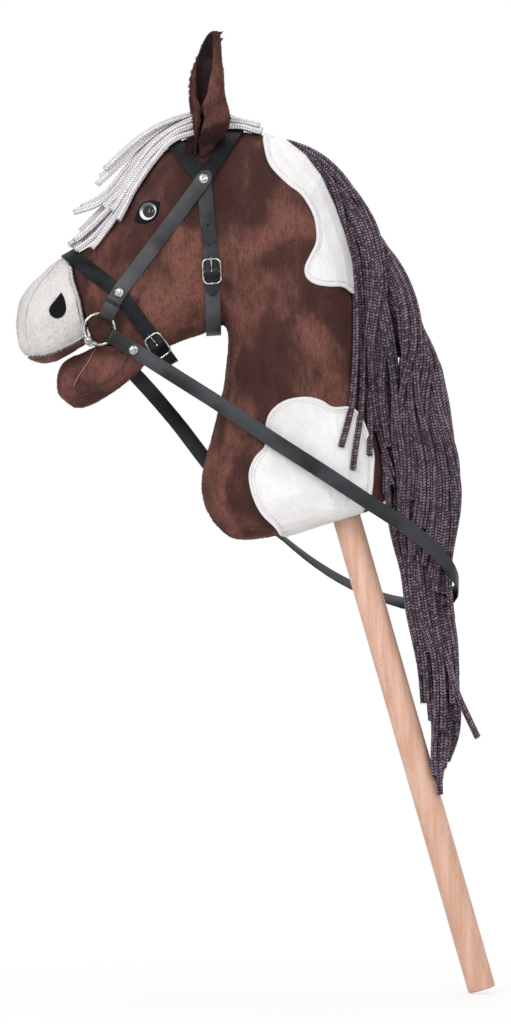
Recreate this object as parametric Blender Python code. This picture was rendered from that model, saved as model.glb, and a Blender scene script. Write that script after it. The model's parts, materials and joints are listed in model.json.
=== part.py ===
# Hobby horse: a stuffed plush head and neck on a round beech stick, with a cord mane,
# a strap bridle with a bit, and one long rein.
#
# Lengths are in metres, with +Z up and the horse facing -X; its left side is -Y. The
# origin is the centre of the stick's foot. Points written as (u, v) are millimetres in
# the side view, u along X and v along Z, from the place where the stick leaves the neck.

import math

import bmesh
import bpy
from mathutils import Vector
from mathutils.bvhtree import BVHTree

for old in list(bpy.data.objects):
    bpy.data.objects.remove(old)

MM = 0.001

# Clearances
GAP = 0.3 * MM                 # between pieces that touch
STRAP_REST = 0.5 * MM          # under a strap that lies on the plush
RUNNING_GAP = 0.5 * MM         # round the ring wire, in what turns on it

# Stick
STICK_DIAMETER = 28 * MM
STICK_FREE_LENGTH = 497 * MM   # from the foot to the neck
STICK_IN_NECK = 285 * MM
STICK_LEAN = math.radians(16)
STICK_EDGE = 2 * MM            # rounding of both ends

# Plush
PLUSH_SQUARENESS = 0.9         # 1 is an ellipse, less is boxier
FELT_THICKNESS = 1.2 * MM      # patches, nostrils and the backing of the eyes
EAR_WALL = 4 * MM
EAR_LINING = 1.2 * MM
EAR_SPREAD = 31 * MM           # from the middle to each ear
EAR_SPLAY = math.radians(7)

# Eyes
EYE_DIAMETER = 19 * MM
EYE_RISE = 6 * MM
EYE_SHANK = 4.4 * MM
EYE_WASHER_DIAMETER = 17 * MM
EYE_WASHER_THICKNESS = 1.5 * MM
EYE_WASHER_DEPTH = 9 * MM      # below the plush

# Straps
STRAP_WIDTH = 15 * MM
STRAP_THICKNESS = 1.4 * MM
RIVET_DIAMETER = 10.5 * MM
RIVET_RISE = 2.6 * MM
RIVET_SHANK = 3 * MM
HOLE_DIAMETER = 2.6 * MM       # billet holes

# Buckles
BUCKLE_LENGTH = 27 * MM
BUCKLE_WIRE = 2.4 * MM
BUCKLE_PLAY = 0.1 * MM         # between a strap's edge and the wire
BUCKLE_WIDTH = STRAP_WIDTH + 2 * (BUCKLE_WIRE + BUCKLE_PLAY)
PRONG_WIRE = 1.8 * MM
PRONG_SLOT = 2.8 * MM

# Bit
RING_DIAMETER = 31 * MM        # to the middle of the wire
RING_WIRE = 3 * MM
RING_SPREAD = 44 * MM          # from the middle to each ring
BIT_DIAMETER = 6 * MM
BIT_END_DIAMETER = 9.6 * MM

# Rein
REIN_RIVET_REACH = 40 * MM     # from the ring's middle

# Cords
FORELOCK_THICKNESS = 8 * MM
FORELOCK_REST = 0.8 * MM

EXIT = Vector((-math.sin(STICK_LEAN), 0, math.cos(STICK_LEAN))) * STICK_FREE_LENGTH
STICK_AXIS = EXIT.normalized()

# Side view of the stuffed body, from the nose to the base of the neck: a point on the
# face and crest, a point on the chin and throat, and half the width, all in millimetres.
BODY_TIP = (-329.5, 184)
BODY = [
    ((-328, 200), (-326, 164), 14), ((-325, 212), (-319, 155), 22), ((-314, 228), (-307, 149), 29),
    ((-299, 242), (-291, 150), 34), ((-285, 253), (-273, 160), 36.5), ((-272, 261), (-255, 170), 37),
    ((-257, 269), (-237, 165), 36.5), ((-245, 280), (-219, 157), 38), ((-233, 292), (-201, 151), 41),
    ((-221, 306), (-187, 159), 44), ((-212, 324), (-173, 166), 47), ((-198, 344), (-155, 172), 49),
    ((-180, 365), (-142, 176), 50), ((-155, 378), (-132, 181), 49), ((-130, 383), (-126, 184), 48),
    ((-105, 383), (-122, 185), 48), ((-83, 379), (-120, 182), 48), ((-52, 367), (-119, 172), 50),
    ((-25, 338), (-118, 158), 52), ((-5, 293), (-119, 140), 54), ((7, 252), (-122, 120), 56),
    ((12, 212), (-127, 99), 58), ((18, 162), (-133, 74), 60), ((27, 112), (-140, 47), 61),
    ((39, 65), (-144, 23), 61), ((48, 30), (-139, 0), 58), ((48, 14), (-123, -22), 50),
    ((37, 6), (-105, -31), 39), ((5, -3), (-73, -28), 20),
]
BODY_END = (-33, -15)

# Lower jaw, from the cheek to the chin, written the same way.
JAW_TIP = (-187, 163)
JAW = [
    ((-201, 172), (-195, 152), 24), ((-219, 172), (-207, 139), 29), ((-237, 170), (-221, 126), 30),
    ((-253, 165), (-239, 114), 29.5), ((-266, 158), (-256, 105), 27.5), ((-276, 155), (-270, 103), 24),
    ((-284, 148), (-282, 111), 19), ((-288, 137), (-288, 119), 11),
]
JAW_END = (-289, 128)

# Seams in the side view
NECK_SEAM = [(-75, 420), (-120.5, 183.5), (-150, 130), (-420, 130)]
MUZZLE_SEAM = [
    (-280, 290), (-275, 260), (-274, 250), (-271, 231), (-265, 212), (-261, 192), (-257, 176),
    (-254, 160), (-252, 120),
]
LIP_SEAM = [(-360, 155), (-316, 156), (-299, 157), (-278, 165), (-262, 173.5), (-257, 176)]

# Appliques in the side view
NOSTRIL = [
    (-283, 218.5), (-279.5, 210), (-278, 202), (-281, 195.5), (-287, 193), (-293, 196), (-295, 201),
    (-291, 209),
]
EYE_BACKING = [
    (-209, 296), (-206, 303), (-200, 308), (-193, 309), (-187, 304.5), (-185, 297), (-189, 291),
    (-196, 288), (-204, 290),
]
CREST_PATCH = [
    (-82, 390), (-78, 355), (-72, 342), (-56, 326), (-44, 317), (-34, 302), (-29, 288), (-28, 269),
    (-34, 255), (-39.5, 243), (-38, 233), (-29, 227), (-15, 225), (-2, 225), (8, 218), (40, 218),
    (40, 300), (0, 390),
]
SHOULDER_PATCH = [
    (-79, 81), (-75, 97), (-61, 109), (-41, 113), (-25, 110), (-13, 103), (6, 103), (17, 90),
    (27, 60), (27, 41), (24, 14), (10, -20), (-40, -40), (-61, -26), (-69, -15), (-83, -1), (-92, 18),
    (-95, 38), (-89, 54), (-79, 65),
]

# Straps in the side view, along their middle; each runs on past the outline where it
# goes over or under the head.
CROWN = [(-141, 329), (-108, 381), (-98, 397)]
BROW = [(-141, 329), (-171.5, 368.5), (-182, 382)]
THROAT = [(-141, 329), (-134.5, 262), (-132.5, 237), (-131.8, 194), (-131.5, 165)]
NOSE = [(-293, 270.5), (-276.3, 257.5), (-225, 218), (-187, 166.5), (-174, 149)]
CHEEK = [(-135, 337), (-141, 329), (-225, 218), (-229.5, 210)]
UPPER_RIVET = (-141, 329)
LOWER_RIVET = (-225, 218)
THROAT_BUCKLE = (-132.5, 237.5)
CHIN_BUCKLE = (-187, 166.5)
CHIN_SPREAD = 25 * MM          # from the middle to where the noseband turns under the chin
THROAT_HOLES = [(-136.4, 285), (-134, 265)]

BILLET_REACH = 25 * MM         # from a buckle's middle bar to the pointed end
UPPER_STACK = 7.4 * MM         # height of the straps under each rivet
LOWER_STACK = 3.6 * MM
REIN_STACK = 3.2 * MM

# Eyes and ears in the side view; each ear row is a height, its front and back, and half
# the angle over which it is open there
EYE_MIDDLE = (-195.4, 298.3)
EARS = [
    (352, -152, -136, 18), (364, -154, -131, 20), (377, -153, -121, 26), (392, -151.5, -116, 34),
    (412, -154, -118, 44), (432, -155, -121, 48), (452, -149.5, -123, 50), (466, -142.5, -124.5, 50),
    (476, -137, -126, 50), (481, -132.5, -128.5, 50),
]
EAR_OPENING = math.radians(245)      # which way an ear opens, turned from the back
EAR_STEPS = 11

# Bit and rein
RING_MIDDLE = (-244.7, 181.8)
CHEEK_ANGLE = math.radians(61.4)     # where each piece goes round the ring
BIT_ANGLE = math.radians(-133.8)
REIN_ANGLE_LEFT = math.radians(-31.3)
REIN_ANGLE_RIGHT = math.radians(-53)
REIN_ROUTE = [
    (-165, 132, -60), (-124, 106, -69), (-75, 73, -73), (-22, 39, -72), (19, 12, -67), (59, -14, -55),
    (90, -39, -40), (107, -60, -26), (113, -75, 0), (103, -87, 26), (72, -93, 37), (39, -86, 44),
    (4, -72, 53), (-29, -52, 61), (-62, -26, 67), (-95, 4, 71), (-133, 44, 71), (-167, 88, 64),
    (-195, 121, 54),
]

# Mane: heights, where the five locks of a side meet along X, and half the thickness.
MANE_LEVELS = [
    (376, (-70, -66, -63, -61, -60, -59), 5),
    (369, (-58, -54, -50, -47, -45, -43), 9),
    (355, (-36, -33, -29, -25, -22, -20), 11),
    (337, (-23, -19, -14, -9, -5, -2), 13),
    (315, (-11.5, -7, -1, 5, 10, 15), 15),
    (287, (-2, 3, 11, 21, 31, 40), 18),
    (247, (9, 15, 24, 35, 46, 57), 21),
    (200, (12.5, 22, 35, 49, 64, 79), 24),
    (155, (11, 27, 44, 61, 78, 94), 25),
    (104, (9, 29, 49, 68, 86, 103), 25),
    (60, (-5, 29, 53, 73, 92, 111), 24),
    (46, (-3, 31, 55, 74, 94, 114), 24),
    (12, (31, 38, 56, 76, 95, 114), 23),
    (-33, (46, 48, 60, 76, 92, 106), 21),
    (-55, (56, 57, 61, 76, 90, 104), 19),
    (-90, (58, 59, 62, 76, 89, 104), 17),
    (-150, (72, 73, 75, 88, 100, 114), 15),
    (-195, (75, 76, 78, 92, 103, 118), 12),
    (-225, (82, 83, 84, 95, 104, 128), 10),
    (-260, (87, 88, 89, 95, 96, 97), 7),
    (-288, (88, 89, 90, 94, 95, 96), 4),
]
MANE_ENDS = [50, -53, -288, -225, -160]
MANE_ROWS = 27
LOCK_STEPS = 5
LOCK_REST = 0.6                # between a lock and the stick, in millimetres
MANE_NAMES = ["front", "second", "middle", "fourth", "back"]

# Forelock: the three locks' routes, each point with its place along Y
FORELOCKS = {
    "left": [(-88, 381, -11.4), (-95, 383, -12), (-115, 386, -12.5), (-135, 390, -13), (-155, 390, -16),
             (-177, 383, -20), (-196, 367, -23), (-212, 343, -26), (-222, 318, -27), (-229, 296, -27)],
    "middle": [(-88, 383, 0), (-95, 386, 0), (-115, 392, 0), (-135, 394.5, 0), (-155, 393, 0),
               (-177, 386, 0), (-197, 373, 0), (-217, 354, 0), (-239, 332, 0), (-257, 312, 0),
               (-271, 299, 0)],
    "right": [(-88, 381, 11.4), (-95, 383, 12), (-115, 386, 12.5), (-135, 390, 13), (-155, 392, 16),
              (-177, 387, 20), (-200, 376, 22), (-222, 360, 24), (-243, 341, 26)],
}


def side(point, y=0.0):
    """A point of the side view, in millimetres, placed at y metres."""
    return EXIT + Vector((point[0] * MM, y, point[1] * MM))


def material(name, colour, roughness, metallic=0.0):
    made = bpy.data.materials.new(name)
    made.use_nodes = True
    shader = made.node_tree.nodes["Principled BSDF"]
    shader.inputs["Base Color"].default_value = (*colour, 1)
    shader.inputs["Roughness"].default_value = roughness
    shader.inputs["Metallic"].default_value = metallic
    made.diffuse_color = (*colour, 1)
    return made


def piece(name, points, faces, finish=None, sharp=40):
    """A mesh object with its faces turned outwards; without a finish it is a cutter."""
    mesh = bpy.data.meshes.new(name)
    shape = closed(points, faces)
    shape.to_mesh(mesh)
    shape.free()
    return place(name, mesh, finish, sharp)


def closed(points, faces):
    """A bmesh of closed bodies with their faces turned outwards and their bent faces split
    across the shorter way, so that two skins side by side bend alike."""
    shape = bmesh.new()
    corners = [shape.verts.new(p) for p in points]
    for face in faces:
        shape.faces.new([corners[k] for k in face])
    fours = [f for f in shape.faces if len(f.verts) == 4]
    bmesh.ops.triangulate(shape, faces=fours, quad_method="SHORT_EDGE")
    bmesh.ops.recalc_face_normals(shape, faces=shape.faces)
    return shape


def place(name, mesh, finish, sharp=40):
    made = bpy.data.objects.new(name, mesh)
    bpy.context.collection.objects.link(made)
    if finish is None:
        made.hide_render = True
        made.display_type = "WIRE"
    else:
        mesh.materials.append(finish)
        mesh.shade_smooth()
        mesh.set_sharp_from_angle(angle=math.radians(sharp))
    return made


def cut(target, cutter, operation="DIFFERENCE"):
    modifier = target.modifiers.new(cutter.name, "BOOLEAN")
    modifier.operation = operation
    modifier.object = cutter
    return target


def catmull(points, t):
    """The point at t, from 0 to len(points) - 1, of a smooth curve through the points."""
    k = min(int(t), len(points) - 2)
    f = t - k
    b, c = Vector(points[k]), Vector(points[k + 1])
    a = Vector(points[k - 1]) if k else b * 2 - c
    d = Vector(points[k + 2]) if k + 2 < len(points) else c * 2 - b
    return 0.5 * (
        b * 2 + (c - a) * f + (a * 2 - b * 5 + c * 4 - d) * f * f + (b * 3 - a - c * 3 + d) * f ** 3
    )


def curve(points, count):
    last = len(points) - 1
    return [catmull(points, last * k / (count - 1)) for k in range(count)]


def spaced(points, step):
    """The polyline again, with points about a step apart."""
    lengths = [0.0]
    for a, b in zip(points, points[1:]):
        lengths.append(lengths[-1] + (b - a).length)
    count = max(2, round(lengths[-1] / step) + 1)
    made = []
    k = 0
    for i in range(count):
        want = lengths[-1] * i / (count - 1)
        while k < len(points) - 2 and lengths[k + 1] < want:
            k += 1
        share = (want - lengths[k]) / max(lengths[k + 1] - lengths[k], 1e-9)
        made.append(points[k].lerp(points[k + 1], share))
    return made


def tube_faces(rings, sides, first, last):
    """Faces between rings of points, closed by the poles numbered first and last."""
    faces = []
    for r in range(rings - 1):
        for k in range(sides):
            a, b = r * sides + k, r * sides + (k + 1) % sides
            faces.append((a, b, b + sides, a + sides))
    end = (rings - 1) * sides
    for k in range(sides):
        faces.append((first, k, (k + 1) % sides))
        faces.append((last, end + k, end + (k + 1) % sides))
    return faces


def skinned(rings):
    """Points and faces of a solid through rings of as many points each, with flat ends."""
    count = len(rings[0])
    points = [p for ring in rings for p in ring]
    faces = [tuple(range(count)), tuple(len(points) - count + k for k in range(count))]
    for r in range(len(rings) - 1):
        for k in range(count):
            a, b = r * count + k, r * count + (k + 1) % count
            faces.append((a, b, b + count, a + count))
    return points, faces


# Stuffed forms

def rounded(value):
    return math.copysign(abs(value) ** PLUSH_SQUARENESS, value)


def stuffed(stations, tip, end, rings, sides):
    """Points and faces of a stuffed form."""
    flat = [(*upper, *lower, width) for upper, lower, width in stations]
    points = []
    for made in smooth_rows(flat, rings):
        upper, lower = Vector(made[0:2]), Vector(made[2:4])
        middle, half = (upper + lower) / 2, (upper - lower) / 2
        for k in range(sides):
            angle = 2 * math.pi * k / sides
            at = middle + half * rounded(math.cos(angle))
            points.append(side(at, made[4] * MM * rounded(math.sin(angle))))
    points += [side(tip), side(end)]
    return points, tube_faces(rings, sides, len(points) - 2, len(points) - 1)


def grown(points, faces, distance):
    """The same faces with every point moved out from the surface."""
    shape = closed(points, faces)
    shape.normal_update()
    moved = [v.co + v.normal * distance for v in shape.verts]
    shape.free()
    return moved, faces


def smooth_rows(rows, count):
    """Rows of numbers on smooth curves through the given rows."""
    made = []
    for i in range(count):
        t = (len(rows) - 1) * i / (count - 1)
        parts = []
        for c in range(len(rows[0])):
            column = [(row[c], 0.0) for row in rows]
            parts.append(catmull(column, t)[0])
        made.append(parts)
    return made




def shifted(points, distance):
    """A polyline moved sideways, to its left, by a distance in millimetres."""
    made = []
    for k, p in enumerate(points):
        a = Vector(points[max(k - 1, 0)])
        b = Vector(points[min(k + 1, len(points) - 1)])
        along = (b - a).normalized()
        made.append(Vector(p) + Vector((-along.y, along.x)) * distance)
    return made


def prism(name, outline, low=-120 * MM, high=120 * MM, finish=None):
    """A side view outline made solid from y low to y high."""
    count = len(outline)
    points = [side(p, low) for p in outline] + [side(p, high) for p in outline]
    faces = [tuple(range(count)), tuple(range(count, 2 * count))]
    for k in range(count):
        j = (k + 1) % count
        faces.append((k, j, j + count, k + count))
    return piece(name, points, faces, finish)


def turned(name, profile, finish, axis_at, axis, sides=16):
    """A solid of (radius, height) points, from pole to pole, turned round an axis."""
    turn = axis.to_track_quat("Z", "Y").to_matrix().to_4x4()
    points = []
    for radius, height in profile[1:-1]:
        for k in range(sides):
            a = 2 * math.pi * k / sides
            points.append(Vector((radius * math.cos(a), radius * math.sin(a), height)))
    points += [Vector((0, 0, profile[0][1])), Vector((0, 0, profile[-1][1]))]
    points = [axis_at + turn @ p for p in points]
    rings = len(profile) - 2
    faces = tube_faces(rings, sides, len(points) - 2, len(points) - 1)
    return piece(name, points, faces, finish)


def rod(name, radius, start, end, finish=None, sides=16):
    length = (end - start).length
    return turned(name, [(0, 0), (radius, 0), (radius, length), (0, length)], finish,
                  start, (end - start).normalized(), sides)


# Strap placing

def surface(points, faces):
    shape = closed(points, faces)
    tree = BVHTree.FromBMesh(shape)
    shape.free()
    return tree


def surface_of(made):
    mesh = made.data
    return surface([v.co.copy() for v in mesh.vertices], [tuple(p.vertices) for p in mesh.polygons])


def side_route(outline, step=3 * MM):
    return spaced([side(p) for p in outline], step)


def taut(route, tree, hand, spread=None):
    """Points of a strap pulled tight over one side of the head, along a side view route;
    with a spread, its last point hangs off the plush, that far from the middle."""
    found = []
    length = 0.0
    for k, p in enumerate(route):
        if k:
            length += (p - route[k - 1]).length
        hit = tree.ray_cast(p + Vector((0, hand * 200 * MM, 0)), Vector((0, -hand, 0)))[0]
        if hit is not None and hit.y * hand > 0:
            found.append((length, abs(hit.y), p))
    if spread is not None:
        found.append((length + MM, spread, route[-1]))
    hull = []
    for s, y, p in found:
        while len(hull) > 1:
            (s0, y0, _), (s1, y1, _) = hull[-2], hull[-1]
            if (s1 - s0) * (y - y0) - (y1 - y0) * (s - s0) < 0:
                break
            hull.pop()
        hull.append((s, y, p))
    return [Vector((p.x, hand * y, p.z)) for s, y, p in hull]


class Frame:
    """A place on a strap: its point, its direction along, its face and its width."""

    def __init__(self, point, along, out):
        self.point = point
        self.along = along.normalized()
        self.out = (out - self.along * out.dot(self.along)).normalized()
        self.across = self.along.cross(self.out)

    def at(self, across=0.0, out=0.0):
        return self.point + self.across * across + self.out * out


def framed(points, tree, across=None):
    """Frames along a line of points near a surface, facing away from it, or square to a
    direction across."""
    made = []
    for k, p in enumerate(points):
        along = points[min(k + 1, len(points) - 1)] - points[max(k - 1, 0)]
        out = tree.find_nearest(p)[1]
        if across is not None:
            flat = along.cross(across)
            out = flat if flat.dot(out) > 0 or abs(flat.normalized().dot(out)) < 0.3 else -flat
        made.append(Frame(p, along, out))
    outs = [f.out for f in made]
    for k, f in enumerate(made):
        near = outs[max(k - 2, 0):k + 3]
        made[k] = Frame(f.point, f.along, sum(near, Vector()))
    return made


def laid(frames, trees, rest=STRAP_REST):
    """The frames moved out until a flat strap lies clear on top of the surfaces."""
    lifts = []
    for k, f in enumerate(frames):
        highest = -1.0
        step = (frames[min(k + 1, len(frames) - 1)].point - frames[max(k - 1, 0)].point) / 2
        for row in (-0.5, -0.25, 0, 0.25, 0.5):
            for column in range(-4, 5):
                start = f.at(column * STRAP_WIDTH / 7.6, 50 * MM) + step * row * 1.2
                for tree in trees:
                    hit = tree.ray_cast(start, -f.out, 90 * MM)[0]
                    if hit is not None:
                        highest = max(highest, (hit - f.point).dot(f.out))
        lifts.append(max(0.0, highest + rest))
    wide = [max(lifts[max(k - 1, 0):k + 2]) for k in range(len(lifts))]
    soft = [sum(wide[max(k - 1, 0):k + 2]) / len(wide[max(k - 1, 0):k + 2]) for k in range(len(wide))]
    made = []
    for f, lift, low in zip(frames, soft, lifts):
        made.append(Frame(f.at(out=max(lift, low)), f.along, f.out))
    return made


def ribbon(name, rows, finish, thickness=STRAP_THICKNESS):
    """A flat strap through rows of (middle, across, out, half width)."""
    rings = []
    for middle, across, out, half in rows:
        corners = ((-1, -1), (1, -1), (1, 1), (-1, 1))
        rings.append([middle + across * (a * half) + out * (o * thickness / 2) for a, o in corners])
    return piece(name, *skinned(rings), finish, sharp=50)


class Path:
    """A strap's frames, read by the distance along them."""

    def __init__(self, frames):
        self.frames = frames
        self.along = [0.0]
        for a, b in zip(frames, frames[1:]):
            self.along.append(self.along[-1] + (b.point - a.point).length)
        self.length = self.along[-1]

    def at(self, s):
        k = 0
        while k < len(self.frames) - 2 and self.along[k + 1] < s:
            k += 1
        a, b = self.frames[k], self.frames[k + 1]
        share = (s - self.along[k]) / (self.along[k + 1] - self.along[k])
        return Frame(a.point.lerp(b.point, share), a.along.lerp(b.along, share), a.out.lerp(b.out, share))

    def find(self, point, hand):
        """The distance at which the strap passes a side view point, on one hand."""
        want = side(point)
        near = [k for k, f in enumerate(self.frames) if f.point.y * hand > 0]
        best = min(near, key=lambda k: math.hypot(self.frames[k].point.x - want.x,
                                                  self.frames[k].point.z - want.z))
        return self.along[best]


def steps(start, end, step):
    count = max(1, round(abs(end - start) / step))
    return [start + (end - start) * k / count for k in range(count + 1)]


def strap_row(frame, rise=0.0, share=1.0):
    """One row of a ribbon whose inner face lies a rise above the frame."""
    middle = frame.at(out=rise + STRAP_THICKNESS / 2)
    return (middle, frame.across, frame.out, STRAP_WIDTH / 2 * share)


def tip_share(left):
    """How wide a strap still is at a distance from its pointed end."""
    return min(1.0, 0.25 + 0.75 * math.sqrt(max(0.0, left) / (STRAP_WIDTH / 2)))


# Buckles

WIRE = BUCKLE_WIRE / 2
BAR_RISE = 2 * STRAP_THICKNESS + 2 * GAP + WIRE
FOLD_RADIUS = WIRE + GAP + STRAP_THICKNESS / 2
BILLET_TOP = BAR_RISE + FOLD_RADIUS + STRAP_THICKNESS / 2 + GAP
BILLET_LOW = STRAP_THICKNESS + GAP
HUMP = BUCKLE_LENGTH / 2 - 2 * WIRE - 0.8 * MM
FOLD_STEP = BUCKLE_LENGTH / 27         # the fold and the hump are as long as the buckle asks


def billet_rise(s):
    """How high the billet's inner face is at a distance from the buckle's middle bar."""
    if abs(s) < HUMP:
        return BILLET_LOW + (BILLET_TOP - BILLET_LOW) * (1 + math.cos(math.pi * s / HUMP)) / 2
    if s > 0:
        return BILLET_LOW
    return BILLET_LOW * max(0.0, min(1.0, 1 + (s + BUCKLE_LENGTH / 2) / (10 * MM)))


def fold_rows(path, at):
    """Rows of the strap's end that is folded round the middle bar, from its cut end."""
    frame = path.at(at)
    rows = []
    for angle in (-235, -205, -180, -150, -120, -90):
        c, s = math.cos(math.radians(angle)), math.sin(math.radians(angle))
        middle = frame.at(out=BAR_RISE + FOLD_RADIUS * s) + frame.along * FOLD_RADIUS * c
        out = -(frame.along * c + frame.out * s)
        rows.append((middle, frame.across, out, STRAP_WIDTH / 2))
    low = BAR_RISE - FOLD_RADIUS - STRAP_THICKNESS / 2
    for k in (2, 4, 6, 8, 10, 13):
        s = k * FOLD_STEP
        share = max(0.0, min(1.0, (9 - k) / 6))
        rows.append(strap_row(path.at(at + s), low * share * share * (3 - 2 * share)))
    return rows


def billet_rows(path, start, at):
    """Rows of the strap's pointed end, which rises over the fold and the bar at a buckle."""
    tip = at + BILLET_REACH
    near, far = 12 * FOLD_STEP, 24 * FOLD_STEP
    places = steps(start, at - far, 5 * MM)[:-1] + steps(at - far, at - near, 4 * MM)[:-1]
    places += steps(at - near, at + near, 2 * MM)[:-1] + steps(at + near, tip, 3 * MM)
    return [strap_row(path.at(s), billet_rise(s - at), tip_share(tip - s)) for s in places]


def box_at(name, frame, along, across, out):
    """A cutter box in a frame, from low to high in each direction."""
    points = []
    for a in along:
        for c in across:
            for o in out:
                points.append(frame.point + frame.along * a + frame.across * c + frame.out * o)
    faces = [(0, 1, 3, 2), (4, 6, 7, 5), (0, 4, 5, 1), (2, 3, 7, 6), (0, 2, 6, 4), (1, 5, 7, 3)]
    return piece(name, points, faces)


def wire_loop(name, middles, normal, radius, finish, sides=8):
    """A closed loop of round wire that lies in a plane."""
    points, count = [], len(middles)
    for k, p in enumerate(middles):
        along = (middles[(k + 1) % count] - middles[k - 1]).normalized()
        away = along.cross(normal)
        for j in range(sides):
            a = 2 * math.pi * (j + 0.5) / sides
            points.append(p + (away * math.cos(a) + normal * math.sin(a)) * radius)
    faces = []
    for k in range(count):
        for j in range(sides):
            a, b = k * sides + j, k * sides + (j + 1) % sides
            c, d = ((k + 1) % count) * sides + (j + 1) % sides, ((k + 1) % count) * sides + j
            faces.append((a, b, c, d))
    return piece(name, points, faces, finish)


def buckle(name, path, at, straps):
    """A frame with its middle bar and a prong, and the slots that the prong needs."""
    frame = path.at(at)
    middle = frame.at(out=BAR_RISE)
    half_long, half_wide = BUCKLE_LENGTH / 2 - WIRE, BUCKLE_WIDTH / 2 - WIRE
    corner = 5 * MM
    outline = []
    for k in range(16):
        a = 2 * math.pi * (k + 0.5) / 16
        c, s = math.cos(a), math.sin(a)
        x = math.copysign(half_wide - corner, c) + corner * c
        y = math.copysign(half_long - corner, s) + corner * s
        outline.append(middle + frame.across * x + frame.along * y)
    loop = wire_loop(name + "_buckle", outline, frame.out, WIRE, nickel)
    bar = rod(name + "_bar", WIRE, middle - frame.across * half_wide, middle + frame.across * half_wide,
              sides=8)
    cut(loop, bar, "UNION")

    reach = BUCKLE_LENGTH / 2 + 1.4 * MM
    climb = 2 * WIRE + GAP / 2
    tip = middle - frame.along * reach + frame.out * climb * reach / half_long
    prong = rod(name + "_prong", PRONG_WIRE / 2, middle, tip, nickel, sides=8)
    eye_half = frame.across * 1.1 * MM
    eye = rod(name + "_prong_eye", WIRE + 1.5 * MM, middle - eye_half, middle + eye_half, sides=12)
    cut(prong, eye, "UNION")
    bore = rod(name + "_prong_bore", WIRE + GAP, middle - eye_half * 2, middle + eye_half * 2, sides=12)
    cut(prong, bore)

    half = PRONG_SLOT / 2
    slot = box_at(name + "_slot", frame, (-8 * FOLD_STEP, -0.8 * MM), (-half, half), (-1 * MM, 10 * MM))
    heel = box_at(name + "_heel_slot", frame, (-1 * MM, 3.2 * MM), (-half, half), (-1 * MM, 6.2 * MM))
    for strap in straps:
        cut(strap, slot)
    cut(straps[-1], heel)
    prong["hinge_at"] = middle
    prong["hinge_axis"] = frame.across
    return loop


def rivet(name, frame, straps, trees, drop):
    """A domed rivet on a stack of straps, with its holes; drop is the stack's height."""
    start = frame.at(out=60 * MM)
    highest = -1.0
    for tree in trees:
        for x in (-1, 0, 1):
            for y in (-1, 0, 1):
                off = (frame.across * x + frame.along * y) * RIVET_DIAMETER * 0.35
                hit = tree.ray_cast(start + off, -frame.out)[0]
                if hit is not None:
                    highest = max(highest, (hit - frame.point).dot(frame.out))
    base = frame.at(out=highest + GAP)
    radius, rise, shank = RIVET_DIAMETER / 2, RIVET_RISE, RIVET_SHANK / 2
    profile = [(0, -drop), (shank, -drop), (shank, 0), (radius, 0), (radius * 0.95, rise * 0.4),
               (radius * 0.7, rise * 0.8), (radius * 0.35, rise * 0.96), (0, rise)]
    turned(name, profile, nickel, base, frame.out, sides=12)
    hole = rod(name + "_hole", shank + GAP, base - frame.out * (drop + 4 * MM), base + frame.out * MM,
               sides=8)
    for strap in straps:
        cut(strap, hole)


def ring_rows(hand, angle, inner_reach, outer_reach, near, whole=0.0):
    """Rows of a strap round the ring wire: up to it on the inner side, round, and back.

    Each reach is how far a layer comes from the ring's middle, and near is where the two
    layers have come together. No row crosses the whole length at the ends of the layers."""
    away = Vector((math.cos(angle), 0, math.sin(angle)))
    across = Vector((-math.sin(angle), 0, math.cos(angle)))
    out = Vector((0, hand, 0))
    middle = side(RING_MIDDLE, hand * RING_SPREAD)
    apart = RING_WIRE / 2 + RUNNING_GAP + STRAP_THICKNESS / 2
    close = (STRAP_THICKNESS + GAP) / 2
    half = STRAP_WIDTH / 2
    turn = math.sqrt((RING_DIAMETER / 2) ** 2 - half ** 2)

    def row(r, hand_side, face, share=1.0):
        far = max(0.0, min(1.0, (r - turn - 4 * MM) / (near - turn - 4 * MM)))
        y = apart + (close - apart) * far * far * (3 - 2 * far)
        return (middle + away * r + out * hand_side * y, across, face, half * share)

    def places(reach):
        return [reach] * (whole > 0) + steps(reach - whole, turn + MM, 6 * MM)

    rows = [row(r, -1, -out) for r in places(inner_reach)]
    rows[0] = row(inner_reach, -1, -out, 0.8)
    for degrees in (270, 235, 200, 160, 125, 90):
        c, s = math.cos(math.radians(degrees)), math.sin(math.radians(degrees))
        bend = middle + away * (turn + apart * c) + out * apart * s
        rows.append((bend, across, away * c + out * s, half))
    return rows + [row(r, 1, out) for r in reversed(places(outer_reach))]


def aligned(rows):
    """The rows with each cross direction on the same hand as the one before."""
    made = [rows[0]]
    for middle, across, out, half in rows[1:]:
        _, was_across, was_out, _ = made[-1]
        if across.dot(was_across) < 0:
            across = -across
        if out.dot(was_out) < 0:
            out = -out
        made.append((middle, across, out, half))
    return made


# Materials
plush = material("brown_plush", (0.15, 0.055, 0.035), 0.9)
white_plush = material("white_plush", (0.8, 0.79, 0.77), 0.9)
felt = material("black_felt", (0.01, 0.01, 0.012), 0.9)
lining = material("dark_lining", (0.04, 0.025, 0.03), 0.9)
wood = material("beech", (0.68, 0.42, 0.27), 0.5)
leather = material("black_leather", (0.02, 0.022, 0.027), 0.4)
nickel = material("nickel", (0.62, 0.62, 0.63), 0.25, 1.0)
eye_plastic = material("eye_plastic", (0.01, 0.01, 0.012), 0.1)
mane_cord = material("mane_cord", (0.05, 0.035, 0.045), 0.8)
white_cord = material("white_cord", (0.75, 0.75, 0.74), 0.8)

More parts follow.
